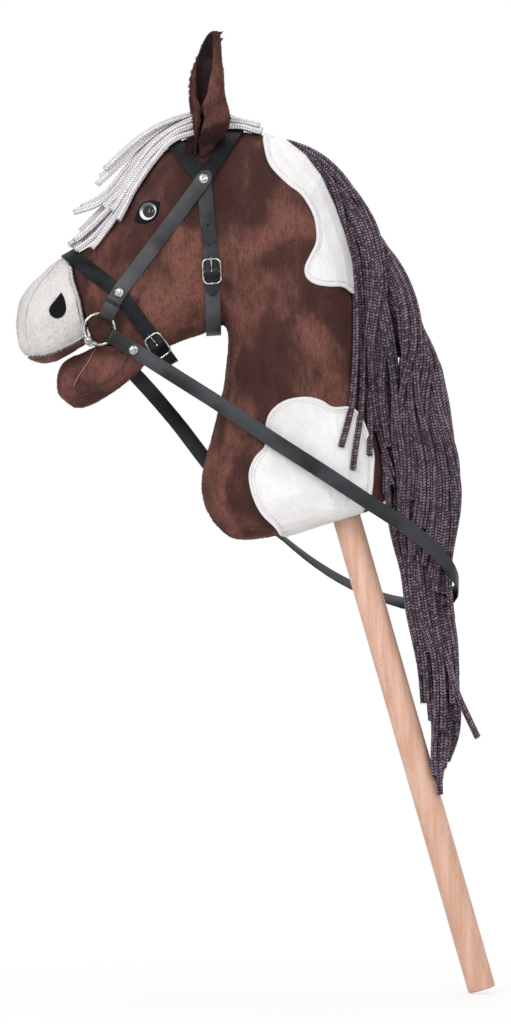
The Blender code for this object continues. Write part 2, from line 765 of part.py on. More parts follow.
body_mesh = stuffed(BODY, BODY_TIP, BODY_END, rings=46, sides=24)
jaw_mesh = stuffed(JAW, JAW_TIP, JAW_END, rings=12, sides=16)
body_tree = surface(*body_mesh)
plush_tree = surface(
    body_mesh[0] + jaw_mesh[0],
    body_mesh[1] + [tuple(k + len(body_mesh[0]) for k in face) for face in jaw_mesh[1]],
)
plush_room = piece("plush_room", *grown(*body_mesh, GAP))
plush_skin = piece("plush_skin", *grown(*body_mesh, GAP + FELT_THICKNESS))

# Stick
stick_top = EXIT + STICK_AXIS * STICK_IN_NECK
radius, long = STICK_DIAMETER / 2, (stick_top).length
turned("stick", [(0, 0), (radius - STICK_EDGE, 0), (radius - STICK_EDGE * 0.3, STICK_EDGE * 0.3),
                 (radius, STICK_EDGE), (radius, long - STICK_EDGE), (radius - STICK_EDGE, long), (0, long)],
       wood, Vector(), STICK_AXIS, sides=28)
stick_room = rod("stick_room", radius + GAP, -STICK_AXIS * MM, stick_top + STICK_AXIS * GAP, sides=28)

# Stuffed body, parted along its seams
half_gap = GAP / MM / 2
neck_side = shifted(NECK_SEAM, half_gap)
head_side = shifted(NECK_SEAM, -half_gap)
head_front = shifted(MUZZLE_SEAM, half_gap)
muzzle_back = shifted(MUZZLE_SEAM, -half_gap)
muzzle_low = shifted(LIP_SEAM, half_gap)
lip_top = shifted(LIP_SEAM, -half_gap)
seam_corner = MUZZLE_SEAM.index(LIP_SEAM[-1])

neck = piece("neck_plush", *body_mesh, plush)
neck_corners = [Vector((-420, -100)), Vector((150, -100)), Vector((150, 420))]
cut(neck, prism("neck_outline", neck_side + neck_corners), "INTERSECT")
cut(neck, stick_room)

head = piece("head_plush", *body_mesh, plush)
cut(head, prism("head_outline", head_side[:3] + [Vector((-252, 120))] + head_front[::-1][1:] +
                [Vector((-280, 420))]), "INTERSECT")

muzzle = piece("muzzle_plush", *body_mesh, white_plush)
cut(muzzle, prism("muzzle_outline", muzzle_back[:seam_corner] + muzzle_low[::-1] + [Vector((-360, 290))]),
    "INTERSECT")

lip = piece("upper_lip_plush", *body_mesh, plush)
cut(lip, prism("lip_outline", lip_top + muzzle_back[seam_corner + 1:] + [Vector((-360, 120))]),
    "INTERSECT")

jaw = piece("lower_jaw_plush", *jaw_mesh, plush)
cut(jaw, plush_room)


# Appliques, cut from a skin that lies on the plush

def applique(name, outline, hand, finish, inner=1 * MM):
    low, high = sorted((hand * inner, hand * 120 * MM))
    made = prism(name, outline, low, high, finish)
    cut(made, plush_skin, "INTERSECT")
    cut(made, plush_room)
    return made


for hand, word in ((-1, "left"), (1, "right")):
    applique("crest_patch_" + word, CREST_PATCH, hand, white_plush)
    applique("shoulder_patch_" + word, SHOULDER_PATCH, hand, white_plush, STICK_DIAMETER / 2 + MM)
    applique("nostril_" + word, NOSTRIL, hand, felt)


# Eyes: a domed button on a shank, held by a washer inside the head

def eye(hand, word):
    start = side(EYE_MIDDLE, hand * 200 * MM)
    at, normal, _, _ = body_tree.ray_cast(start, Vector((0, -hand, 0)))
    backing = applique("eye_backing_" + word, EYE_BACKING, hand, felt)
    base = at + normal * (2 * GAP + FELT_THICKNESS)
    r, rise, shank = EYE_DIAMETER / 2, EYE_RISE, EYE_SHANK / 2
    top = -2 * GAP - FELT_THICKNESS - EYE_WASHER_DEPTH
    low = top - EYE_WASHER_THICKNESS
    deep = EYE_WASHER_THICKNESS - low
    turned("eye_" + word, [(0, -deep), (shank, -deep), (shank, 0), (r, 0), (r * 0.97, rise * 0.3),
                           (r * 0.82, rise * 0.64), (r * 0.5, rise * 0.91), (0, rise)],
           eye_plastic, base, normal, sides=18)
    narrow, wide = shank + GAP, EYE_WASHER_DIAMETER / 2 + GAP
    room = turned("eye_room_" + word, [(0, -deep - GAP), (narrow, -deep - GAP), (narrow, low - GAP),
                                       (wide, low - GAP), (wide, top + GAP), (narrow, top + GAP),
                                       (narrow, MM), (0, MM)], None, base, normal, sides=12)
    washer = rod("eye_washer_" + word, EYE_WASHER_DIAMETER / 2, base + normal * low, base + normal * top,
                 eye_plastic, sides=12)
    hole = rod("eye_washer_hole_" + word, narrow, base + normal * (low - MM), base + normal * (top + MM),
               sides=12)
    cut(washer, hole)
    cut(backing, room)
    cut(head, room)


for hand, word in ((-1, "left"), (1, "right")):
    eye(hand, word)


# Ears: a folded plush shell, open forwards and outwards, with a dark lining

def ear_ring(row, hand, wall_out, wall_in, skip):
    """One height of a folded shell, from its outer face in to its inner one."""
    height, front, back, opening = row
    middle, wide = (front + back) / 2, (back - front) / 2
    gap = math.radians(opening)
    lean = (height - EARS[0][0]) * MM * math.tan(EAR_SPLAY)
    centre = side((middle, height), hand * (EAR_SPREAD + lean))
    deep = wide * 0.8
    order = range(skip, EAR_STEPS - skip)
    points = []
    for wall, places in ((wall_out, order), (wall_in, reversed(order))):
        less = min(wall / MM, wide * 0.8)
        for k in places:
            angle = EAR_OPENING + gap + (2 * math.pi - 2 * gap) * k / (EAR_STEPS - 1)
            x = (wide - less) * math.cos(angle)
            y = max(deep - less, 0.2) * math.sin(angle)
            points.append(centre + Vector((x * MM, -hand * y * MM, 0)))
    return points


def ear_shell(name, rows, hand, wall_out, wall_in, skip, finish):
    rings = [ear_ring(row, hand, wall_out, wall_in, skip) for row in rows]
    made = piece(name, *skinned(rings), finish, sharp=60)
    cut(made, plush_room)
    return made


ears = []
for hand, word in ((-1, "left"), (1, "right")):
    ears.append(ear_shell("ear_" + word, EARS, hand, 0.0, EAR_WALL, 0, plush))
    inner = EAR_WALL + GAP
    ear_shell("ear_lining_" + word, EARS[1:-2], hand, inner, inner + EAR_LINING, 1, lining)


# Bridle

def over(route, tree, spread=None):
    """A strap from one side over the top, or underneath, to the other side."""
    line = side_route(route)
    return taut(line, tree, -1, spread) + taut(line, tree, 1, spread)[::-1]


def eased(points, times=3):
    """The points with their corners rounded off."""
    for _ in range(times):
        inner = [(a + b * 2 + c) / 4 for a, b, c in zip(points, points[1:], points[2:])]
        points = [points[0]] + inner + [points[-1]]
    return points


def strap_path(points, trees, step=5 * MM, across=None):
    return Path(laid(framed(eased(spaced(points, step)), plush_tree, across), trees))


trees = [plush_tree]

# The throatlatch is two straps that meet at its buckle: the billet, with the holes, hangs
# from the left rivet, and the longer one goes under the throat to the right rivet.
drop = (side(THROAT[-1]) - side(THROAT[0])).normalized()
throat = strap_path(over(THROAT, plush_tree), trees, across=drop.cross(Vector((0, 1, 0))))
at = throat.find(THROAT_BUCKLE, -1)
rows = fold_rows(throat, at)
rows += [strap_row(throat.at(s)) for s in steps(at + 18 * FOLD_STEP, throat.length, 5 * MM)]
throatlatch = ribbon("throatlatch", rows, leather)
billet = ribbon("throatlatch_billet", billet_rows(throat, 0, at), leather)
buckle("throat", throat, at, [billet, throatlatch])
for k, point in enumerate(THROAT_HOLES):
    frame = throat.at(throat.find(point, -1))
    cut(billet, rod("throat_hole_%d" % k, HOLE_DIAMETER / 2, frame.at(out=-2 * MM), frame.at(out=6 * MM),
                    sides=8))
trees += [surface_of(billet), surface_of(throatlatch)]

brow = strap_path(over(BROW, plush_tree), trees)
brow_rows = [strap_row(brow.at(s)) for s in steps(0, brow.length, 4 * MM)]
browband = ribbon("browband", brow_rows, leather)
trees.append(surface_of(browband))
wider = [(middle, across, out, half + GAP) for middle, across, out, half in brow_rows]
brow_room = ribbon("brow_room", wider, None, STRAP_THICKNESS + 2 * GAP)
for ear in ears:
    cut(ear, brow_room)

crown = strap_path(over(CROWN, plush_tree), trees)
crown_strap = ribbon("crown_strap", [strap_row(crown.at(s)) for s in steps(0, crown.length, 4 * MM)],
                     leather)
trees.append(surface_of(crown_strap))

# The noseband is one strap: folded round its buckle on the left, under the chin, up the
# right side, over the nose and down the left side to the buckle again.
around = over(NOSE, plush_tree, CHIN_SPREAD)
loop = spaced(around + around[:1], 4 * MM)
want = side(CHIN_BUCKLE)
first = min((k for k, p in enumerate(loop) if p.y < 0),
            key=lambda k: math.hypot(loop[k].x - want.x, loop[k].z - want.z))
turns = eased(loop[first - 6:-1] + loop[:first + 16])
nose = Path(laid(framed(turns, plush_tree), [plush_tree]))
start = nose.along[6]
lap = nose.along[len(loop) + 5] - start
rows = fold_rows(nose, start)
noseband = ribbon("noseband", rows + billet_rows(nose, start + 18 * FOLD_STEP, start + lap), leather)
buckle("chin", nose, start, [noseband])
trees.append(surface_of(noseband))


# Cheekpieces, each from a tip above the upper rivet, over the noseband, round the ring
# wire and back under itself

def cheekpiece(hand, word):
    path = strap_path(taut(side_route(CHEEK), plush_tree, hand), trees, 5 * MM)
    rows = [strap_row(path.at(s), 0, tip_share(s)) for s in steps(0, path.length, 5 * MM)]
    turn = ring_rows(hand, CHEEK_ANGLE, inner_reach=28 * MM, outer_reach=27 * MM, near=60 * MM)
    return ribbon("cheekpiece_" + word, aligned(turn + rows[::-1]), leather), path


cheeks = {}
for hand, word in ((-1, "left"), (1, "right")):
    cheeks[hand] = cheekpiece(hand, word)

for hand, word in ((-1, "left"), (1, "right")):
    strap, path = cheeks[hand]
    near = trees + [surface_of(strap)]
    frame = path.at(path.find(UPPER_RIVET, hand))
    stack = [strap, browband, crown_strap, billet if hand < 0 else throatlatch]
    rivet("rivet_upper_" + word, frame, stack, near, UPPER_STACK)
    frame = path.at(path.find(LOWER_RIVET, hand))
    rivet("rivet_lower_" + word, frame, [strap, noseband], near, LOWER_STACK)


# Bit

def ring_wire(name, hand, radius, finish=None):
    centre = side(RING_MIDDLE, hand * RING_SPREAD)
    around = []
    for k in range(24):
        a = 2 * math.pi * k / 24
        around.append(centre + Vector((math.cos(a), 0, math.sin(a))) * RING_DIAMETER / 2)
    return wire_loop(name, around, Vector((0, 1, 0)), radius, finish)


def bit():
    away = Vector((math.cos(BIT_ANGLE), 0, math.sin(BIT_ANGLE)))
    ends = [side(RING_MIDDLE, hand * RING_SPREAD) + away * RING_DIAMETER / 2 for hand in (-1, 1)]
    bar = rod("bit_bar", BIT_DIAMETER / 2, *ends, nickel)
    r = BIT_END_DIAMETER / 2
    ball = [(0, -r), (r * 0.5, -r * 0.87), (r * 0.87, -r * 0.5), (r, 0), (r * 0.87, r * 0.5),
            (r * 0.5, r * 0.87), (0, r)]
    for end, hand, word in zip(ends, (-1, 1), ("left", "right")):
        ring_wire("bit_ring_" + word, hand, RING_WIRE / 2, nickel)
        cut(bar, turned("bit_ball_" + word, ball, None, end, Vector((0, 1, 0)), sides=14), "UNION")
        cut(bar, ring_wire("bit_bore_" + word, hand, RING_WIRE / 2 + RUNNING_GAP))
    room = rod("bit_room", BIT_DIAMETER / 2 + GAP, *ends)
    for soft in (head, muzzle, lip, jaw):
        cut(soft, room)


bit()


# Rein: one strap, folded round both rings, that hangs behind the mane

def hanging(points, step):
    """Rows of a strap that hangs with its flat side upright."""
    line = spaced([side(p, p[2] * MM) for p in curve(points, 12 * len(points))], step)
    rows = []
    for k, p in enumerate(line):
        along = (line[min(k + 1, len(line) - 1)] - line[max(k - 1, 0)]).normalized()
        out = Vector((along.y, -along.x, 0)).normalized()
        square = max(0.0, 1 - min(k, len(line) - 1 - k) / 5)
        out = out.lerp(Vector((0, math.copysign(1, p.y), 0)), square)
        out = (out - along * out.dot(along)).normalized()
        rows.append((p, along.cross(out), out, STRAP_WIDTH / 2))
    return rows


def rein():
    parts, frames, ends = [], [], []
    reach = REIN_RIVET_REACH + 8 * MM
    for hand, angle in ((-1, REIN_ANGLE_LEFT), (1, REIN_ANGLE_RIGHT)):
        rows = ring_rows(hand, angle, reach, reach, REIN_RIVET_REACH - 10 * MM, 16 * MM)
        away = Vector((math.cos(angle), 0, math.sin(angle)))
        middle = side(RING_MIDDLE, hand * RING_SPREAD)
        parts.append(rows)
        frames.append(Frame(middle + away * REIN_RIVET_REACH, away, Vector((0, hand, 0))))
        last = (rows[-1][0] - EXIT) / MM
        ends.append((last.x, last.z, last.y))
    route = hanging([ends[0]] + REIN_ROUTE + [ends[1]], 14 * MM)[1:-1]
    strap = ribbon("rein", aligned(parts[0] + route + parts[1][::-1]), leather)
    for frame, word in zip(frames, ("left", "right")):
        rivet("rein_rivet_" + word, frame, [strap], [surface_of(strap)], REIN_STACK)


rein()


# Mane: five locks of cords on each side, cut to lie on the plush and its patches

def beside(x, height, hand, margin):
    """How far from the middle the plush, a patch or the stick reaches, in millimetres."""
    start = side((x, height), hand * 200 * MM)
    hit = skin_tree.ray_cast(start, Vector((0, -hand, 0)))[0]
    found = abs(hit.y) / MM if hit is not None and hit.y * hand > 0 else 0.0
    across = (x + height * math.tan(STICK_LEAN)) * math.cos(STICK_LEAN)
    radius = STICK_DIAMETER / 2 / MM + margin
    if abs(across) < radius and height < 0:
        found = max(found, math.sqrt(radius ** 2 - across ** 2))
    return found


def lock(k, hand, word):
    flat = [(height, *xs, half) for height, xs, half in MANE_LEVELS]
    rings = []
    for row in smooth_rows(flat, MANE_ROWS):
        height, xs, half = row[0], row[1:7], row[7]
        low, high = xs[k] + 0.2, xs[k + 1] - 0.2
        if height < MANE_ENDS[k] or high - low < 2:
            continue
        middle, wide = (xs[0] + xs[5]) / 2, (xs[5] - xs[0]) / 2 + 1
        step = (high - low) / (LOCK_STEPS - 1)
        outer = []
        for j in range(LOCK_STEPS):
            x = low + step * j
            most = max(beside(x + step * f, height, hand, LOCK_REST) for f in (-0.7, -0.35, 0, 0.35, 0.7))
            share = min(1.0, abs(x - middle) / wide)
            ridge = 0.9 if j % 2 else -0.5
            reach = max(most + 4.5, half * math.sqrt(1 - share ** 2)) + ridge
            outer.append(side((x, height), hand * reach * MM))
        inner = [side((high, height), hand * GAP), side((low, height), hand * GAP)]
        rings.append(outer + inner)
    made = piece("mane_%s_%s" % (MANE_NAMES[k], word), *skinned(rings), mane_cord, sharp=60)
    cut(made, mane_room)
    if MANE_ENDS[k] < -100:
        cut(made, mane_stick_room)


skin_tree = surface(*grown(*body_mesh, GAP + FELT_THICKNESS))
mane_room = piece("mane_room", *grown(*body_mesh, 2 * GAP + FELT_THICKNESS))
mane_stick_room = rod("mane_stick_room", STICK_DIAMETER / 2 + LOCK_REST * MM, STICK_AXIS * 9 * MM, EXIT,
                      sides=24)
for hand, word in ((-1, "left"), (1, "right")):
    for k in range(len(MANE_ENDS)):
        lock(k, hand, word)


# Forelock: three locks that pass between the ears and hang over the face

def forelock(name, route, under):
    line = spaced([side(p, p[2] * MM) for p in curve(route, 8 * len(route))], 13 * MM)
    thick = FORELOCK_THICKNESS / 2
    rings = []
    for k, p in enumerate(line):
        along = (line[min(k + 1, len(line) - 1)] - line[max(k - 1, 0)]).normalized()
        out = Vector((0, 1, 0)).cross(along).normalized()
        if out.z < 0:
            out = -out
        across = along.cross(out)
        half = (5.2 + 4 * min(1.0, max(0.0, k - 5) / 5)) * MM
        highest = -1.0
        for tree in under:
            for j in range(-3, 4):
                for ahead in (-6, -3, 0, 3, 6):
                    start = p + across * (half * j / 3) + along * ahead * MM + out * 50 * MM
                    hit = tree.ray_cast(start, -out, 75 * MM)[0]
                    if hit is not None:
                        highest = max(highest, (hit - p).dot(out))
        centre = p + out * max(0.0, highest + thick + FORELOCK_REST)
        size = 0.6 if k == len(line) - 1 else 1.0
        ring = []
        for j in range(5):
            f = -1 + j / 2
            ridge = (0.6 if j % 2 else -0.3) * MM
            rise = thick * math.sqrt(1 - 0.6 * f * f) * size + ridge
            ring.append(centre + across * f * half * size + out * rise)
        for f in (0.85, -0.85):
            ring.append(centre + across * f * half * size - out * thick * 0.95 * size)
        rings.append(ring)
    return piece(name, *skinned(rings), white_cord, sharp=60)


for word, route in FORELOCKS.items():
    forelock("forelock_" + word, route, [body_tree, surface_of(crown_strap), surface_of(browband)])
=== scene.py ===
import json
import math
import random

import bpy
import numpy as np
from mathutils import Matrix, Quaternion, Vector, noise
from mathutils.bvhtree import BVHTree


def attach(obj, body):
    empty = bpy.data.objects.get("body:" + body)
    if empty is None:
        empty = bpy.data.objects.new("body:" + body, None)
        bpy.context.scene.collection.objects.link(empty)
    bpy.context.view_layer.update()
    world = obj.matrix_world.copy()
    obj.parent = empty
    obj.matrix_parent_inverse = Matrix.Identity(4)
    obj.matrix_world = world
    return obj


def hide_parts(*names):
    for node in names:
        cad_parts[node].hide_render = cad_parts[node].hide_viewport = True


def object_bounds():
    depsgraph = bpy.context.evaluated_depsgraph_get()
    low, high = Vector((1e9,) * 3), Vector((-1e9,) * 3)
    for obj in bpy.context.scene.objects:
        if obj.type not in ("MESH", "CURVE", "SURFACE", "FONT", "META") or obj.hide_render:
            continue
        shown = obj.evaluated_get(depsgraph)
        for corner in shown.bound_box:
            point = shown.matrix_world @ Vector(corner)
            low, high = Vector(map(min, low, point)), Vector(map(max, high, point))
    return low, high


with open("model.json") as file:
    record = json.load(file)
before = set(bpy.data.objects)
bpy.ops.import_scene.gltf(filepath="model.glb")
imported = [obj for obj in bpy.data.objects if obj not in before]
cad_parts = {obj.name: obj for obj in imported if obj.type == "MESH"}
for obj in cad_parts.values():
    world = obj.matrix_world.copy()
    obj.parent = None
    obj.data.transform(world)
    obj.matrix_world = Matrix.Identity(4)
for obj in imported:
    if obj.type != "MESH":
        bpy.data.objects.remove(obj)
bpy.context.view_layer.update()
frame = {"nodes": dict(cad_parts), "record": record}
nodes = frame["nodes"]
exitPoint = Vector((-0.136992, 0, 0.477747))   # where the stick leaves the neck
stickLean = math.radians(16)
hands = ((-1, "left"), (1, "right"))
bodyOf = {node: body for body, members in frame["record"]["behaviour"]["bodies"].items() for node in members}
slotOf = {row["node"]: row["material_slot"] for row in frame["record"]["subparts"]}
bpy.context.scene.view_settings.view_transform = "Standard"
print("frame loaded")


# small helpers

def sidePoint(u, v, y=0.0):
    # a point of the side view in millimetres from the stick's exit
    return exitPoint + Vector((u, y, v)) / 1000


def only(piece):
    bpy.ops.object.select_all(action="DESELECT")
    piece.select_set(True)
    bpy.context.view_layer.objects.active = piece


def finishWith(piece, kind, **settings):
    only(piece)
    modifier = piece.modifiers.new(kind.lower(), kind)
    for key, value in settings.items():
        setattr(modifier, key, value)
    bpy.ops.object.modifier_apply(modifier=modifier.name)


def inEditMode(piece, step, **settings):
    # one step of bpy.ops.mesh on the whole piece
    only(piece)
    bpy.ops.object.mode_set(mode="EDIT")
    bpy.ops.mesh.select_all(action="SELECT")
    step(**settings)
    bpy.ops.object.mode_set(mode="OBJECT")


def addMesh(name, points, faces):
    mesh = bpy.data.meshes.new(name)
    mesh.from_pydata([tuple(p) for p in points], [], faces)
    piece = bpy.data.objects.new(name, mesh)
    bpy.context.scene.collection.objects.link(piece)
    return piece


def merged(pieces):
    points, faces = [], []
    for piece in pieces:
        start = len(points)
        points += [v.co.copy() for v in piece.data.vertices]
        faces += [[start + i for i in p.vertices] for p in piece.data.polygons]
    return points, faces


def copyOf(nodeNames, name):
    # one mesh from copies of CAD nodes
    piece = addMesh(name, *merged([nodes[node] for node in nodeNames]))
    inEditMode(piece, bpy.ops.mesh.remove_doubles, threshold=0.00002)
    return piece


def treeOf(*pieces):
    # pieces, or the names of CAD nodes
    return BVHTree.FromPolygons(*merged([nodes[p] if isinstance(p, str) else p for p in pieces]))


def smoothShade(piece, angle=None):
    only(piece)
    if angle is None:
        bpy.ops.object.shade_smooth()
    else:
        bpy.ops.object.shade_smooth_by_angle(angle=math.radians(angle))


def dress(piece, finish, replaced=(), body="horse"):
    piece.data.materials.clear()
    piece.data.materials.append(finish)
    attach(piece, body)
    if replaced:
        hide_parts(*replaced)


# camera

view = {"distance": 7.0, "height": 1.024, "across": -0.2265, "up": 0.4777}
# the photo at one millimetre a pixel: its middle column, and the column and row of the stick's exit
picture = {"middle": 255.5, "column": 345, "row": 512}
exitAside = (picture["column"] - picture["middle"]) / 1000

cameraData = bpy.data.cameras.new("camera")
camera = bpy.data.objects.new("camera", cameraData)
bpy.context.scene.collection.objects.link(camera)
camera.location = (view["across"], -view["distance"], view["up"])
camera.rotation_euler = (math.radians(90), 0, 0)
cameraData.angle = 2 * math.atan(view["height"] / 2 / view["distance"])   # the long side's
bpy.context.scene.camera = camera
print("camera placed")


# shader arithmetic

def paint(code):
    # a written colour such as #4a2a22, as linear numbers
    shares = [int(code[k:k + 2], 16) / 255 for k in (1, 3, 5)]
    return tuple(s / 12.92 if s <= 0.04045 else ((s + 0.055) / 1.055) ** 2.4 for s in shares) + (1.0,)


def settable(value):
    return paint(value) if isinstance(value, str) else value


class Wire:
    # a socket that takes part in plain arithmetic
    def __init__(self, made, socket):
        self.made = made
        self.socket = socket

    def math(self, operation, first, second=0.0):
        return self.made.make("ShaderNodeMath", {"operation": operation}, {0: first, 1: second})

    def __add__(self, other):
        return self.math("ADD", self, other)

    def __sub__(self, other):
        return self.math("SUBTRACT", self, other)

    def __rsub__(self, other):
        return self.math("SUBTRACT", other, self)

    def __mul__(self, other):
        return self.math("MULTIPLY", self, other)

    def __truediv__(self, other):
        return self.math("DIVIDE", self, other)

    def __pow__(self, other):
        return self.math("POWER", self, other)

    __radd__ = __add__
    __rmul__ = __mul__

    def most(self, other):
        return self.math("MAXIMUM", self, other)

    def size(self):
        return self.math("ABSOLUTE", self)

    def part(self):
        return self.math("FRACT", self)

    def floor(self):
        return self.math("FLOOR", self)

    def wave(self):
        return self.math("SINE", self)

    def axis(self, k):
        return self.made.make("ShaderNodeSeparateXYZ", {}, {0: self}, k)

    def length(self):
        return self.made.make("ShaderNodeVectorMath", {"operation": "LENGTH"}, {0: self}, 1)

    def step(self, low, high):
        # 0 below low, 1 above high, smooth between
        return self.made.make("ShaderNodeMapRange", {"interpolation_type": "SMOOTHSTEP"},
                              {"Value": self, "From Min": low, "From Max": high})


class Nodes:
    # a node tree; an input takes a number, a wire or a written colour
    def __init__(self, tree):
        self.tree = tree

    def make(self, kind, settings, values, output=0):
        node = self.tree.nodes.new(kind)
        for key, value in settings.items():
            setattr(node, key, value)
        for socket, value in values.items():
            if isinstance(value, Wire):
                self.tree.links.new(value.socket, node.inputs[socket])
            else:
                node.inputs[socket].default_value = settable(value)
        return Wire(self, node.outputs[output])

    def seen(self):
        # 1 on the rays that show a thing, straight, mirrored or through glass; 0 on those that light it
        straight, mirrored, through = (self.make("ShaderNodeLightPath", {}, {}, "Is %s Ray" % word)
                                       for word in ("Camera", "Glossy", "Transmission"))
        return straight.most(mirrored).most(through)

    def show(self, share, first, second, output):
        mixed = self.make("ShaderNodeMixShader", {}, {0: share, 1: first, 2: second})
        self.tree.links.new(mixed.socket, self.tree.nodes[output].inputs["Surface"])


class Finish(Nodes):
    def __init__(self, name, fixed):
        self.material = bpy.data.materials.new(name)
        self.material.use_nodes = True
        super().__init__(self.material.node_tree)
        self.shader = self.tree.nodes["Principled BSDF"]
        for socket, value in fixed.items():
            self.shader.inputs[socket].default_value = settable(value)
        self.coordinates = self.tree.nodes.new("ShaderNodeTexCoord")

    def at(self, kind):
        return Wire(self, self.coordinates.outputs[kind])

    def place(self, scale=(1, 1, 1), turn=(0, 0, 0), shift=(0, 0, 0)):
        return self.make("ShaderNodeMapping", {}, {"Vector": self.at("Object"), "Location": shift,
                                                   "Rotation": turn, "Scale": scale})

    def around(self, spot):
        # the side view, measured from a spot in it
        return self.place((1, 0, 1), shift=(-spot.x, 0, -spot.z))

    def ownMap(self):
        return self.at("UV").axis(0), self.at("UV").axis(1)

    def noise(self, scale, detail=2.0, roughness=0.5, at=None, bend=0.0):
        return self.make("ShaderNodeTexNoise", {}, {"Vector": at or self.place(), "Scale": scale,
                                                    "Detail": detail, "Roughness": roughness,
                                                    "Distortion": bend})

    def cells(self, scale, at=None):
        return self.make("ShaderNodeTexVoronoi", {}, {"Vector": at or self.place(), "Scale": scale})

    def speck(self, at):
        return self.make("ShaderNodeTexWhiteNoise", {"noise_dimensions": "3D"}, {"Vector": at})

    def vector(self, x, y):
        return self.make("ShaderNodeCombineXYZ", {}, {0: x, 1: y})

    def mix(self, share, first, second):
        return self.make("ShaderNodeMix", {"data_type": "RGBA"}, {0: share, 6: first, 7: second}, 2)

    def bump(self, height, distance, strength, below=None):
        values = {"Height": height, "Distance": distance, "Strength": strength}
        if below is not None:
            values["Normal"] = below
        return self.make("ShaderNodeBump", {}, values)

    def feed(self, wires):
        for socket, wire in wires.items():
            self.tree.links.new(wire.socket, self.shader.inputs[socket])
        return self.material


# cords: the mane and the forelock

cords = {
    "maneDiameter": 0.0066, "maneLength": 0.335, "perSide": 52, "over": 30, "declaredPerSide": 11,
    "fan": (3, 4, 5), "fanLength": (0.318, 0.333, 0.320),
    "forelockDiameter": 0.0062, "step": 0.004, "sides": 12, "groove": 0.10, "settling": 14,
    "maneFray": (14, 0.0035), "forelockFray": (16, 0.0032),   # loose yarns at a cut end and their length
}

# the crest that the cords are sewn to, and what the hanging mane fills: height, front, back, half thickness
crestLine = [(-61, 371), (-50, 366), (-25, 338), (-5, 293), (7, 252), (12, 212), (18, 162), (27, 112),
             (39, 65), (48, 32)]
maneShape = [
    (377, -62, -50, 5), (369, -55, -34, 9), (355, -36, -16, 11), (337, -23, 3, 13), (320, -13, 20, 14.5),
    (302, -7, 42, 16), (284, -2, 64, 18), (266, 3, 71, 19), (248, 8, 80, 21), (230, 9, 93, 22),
    (212, 10, 101, 23), (194, 11, 108, 24), (176, 12.5, 112, 24.5), (158, 14, 119, 25), (140, 17, 120, 25),
    (122, 20.5, 115, 25), (104, 24, 114.5, 25), (86, 28, 114, 24.5), (68, 31, 117, 24), (50, 36, 118.5, 24),
    (12, 38, 118, 23), (-22, 46, 112, 22), (-40, 50, 108, 21), (-58, 57, 106, 20), (-94, 60, 108, 19),
    (-130, 68, 114, 18), (-150, 73, 114, 17), (-195, 76, 117, 13), (-225, 83, 116, 10), (-260, 87, 100, 7),
    (-290, 88, 97, 5), (-350, 88, 97, 4),
]
fanShape = [
    (377, -62, -52), (369, -55, -42), (355, -37, -24), (337, -24, -8), (315, -12, 4), (287, -3, 13),
    (247, 6, 24), (200, 8, 27), (155, 7, 28), (104, 2, 30), (75, -8, 31), (55, -16, 32), (40, -20, 33),
]


def between(rows, height, column):
    heights = [row[0] for row in rows][::-1]
    return float(np.interp(height, heights, [row[column] for row in rows][::-1]))


def lengthsOf(points):
    # how far along the line each of its points lies
    return np.r_[0, np.cumsum(np.linalg.norm(np.diff(points, axis=0), axis=1))]


def resampled(points, step):
    points = np.array(points, float)
    lengths = lengthsOf(points)
    count = max(2, int(round(lengths[-1] / step)) + 1)
    at = np.linspace(0, lengths[-1], count)
    return np.stack([np.interp(at, lengths, points[:, k]) for k in range(3)], axis=1)


def eased(points, times):
    points = np.array(points, float)
    for _ in range(times):
        middle = (points[:-2] + points[2:]) / 2
        points[1:-1] = points[1:-1] * 0.5 + middle * 0.5
    return points


def eased01(share):
    share = min(1.0, max(0.0, share))
    return share * share * (3 - 2 * share)


def cutTo(points, length):
    points = np.array(points, float)
    lengths = lengthsOf(points)
    if lengths[-1] <= length:
        return points
    kept = points[lengths < length]
    share = (length - lengths[len(kept) - 1]) / (lengths[len(kept)] - lengths[len(kept) - 1])
    return np.vstack([kept, points[len(kept) - 1] * (1 - share) + points[len(kept)] * share])


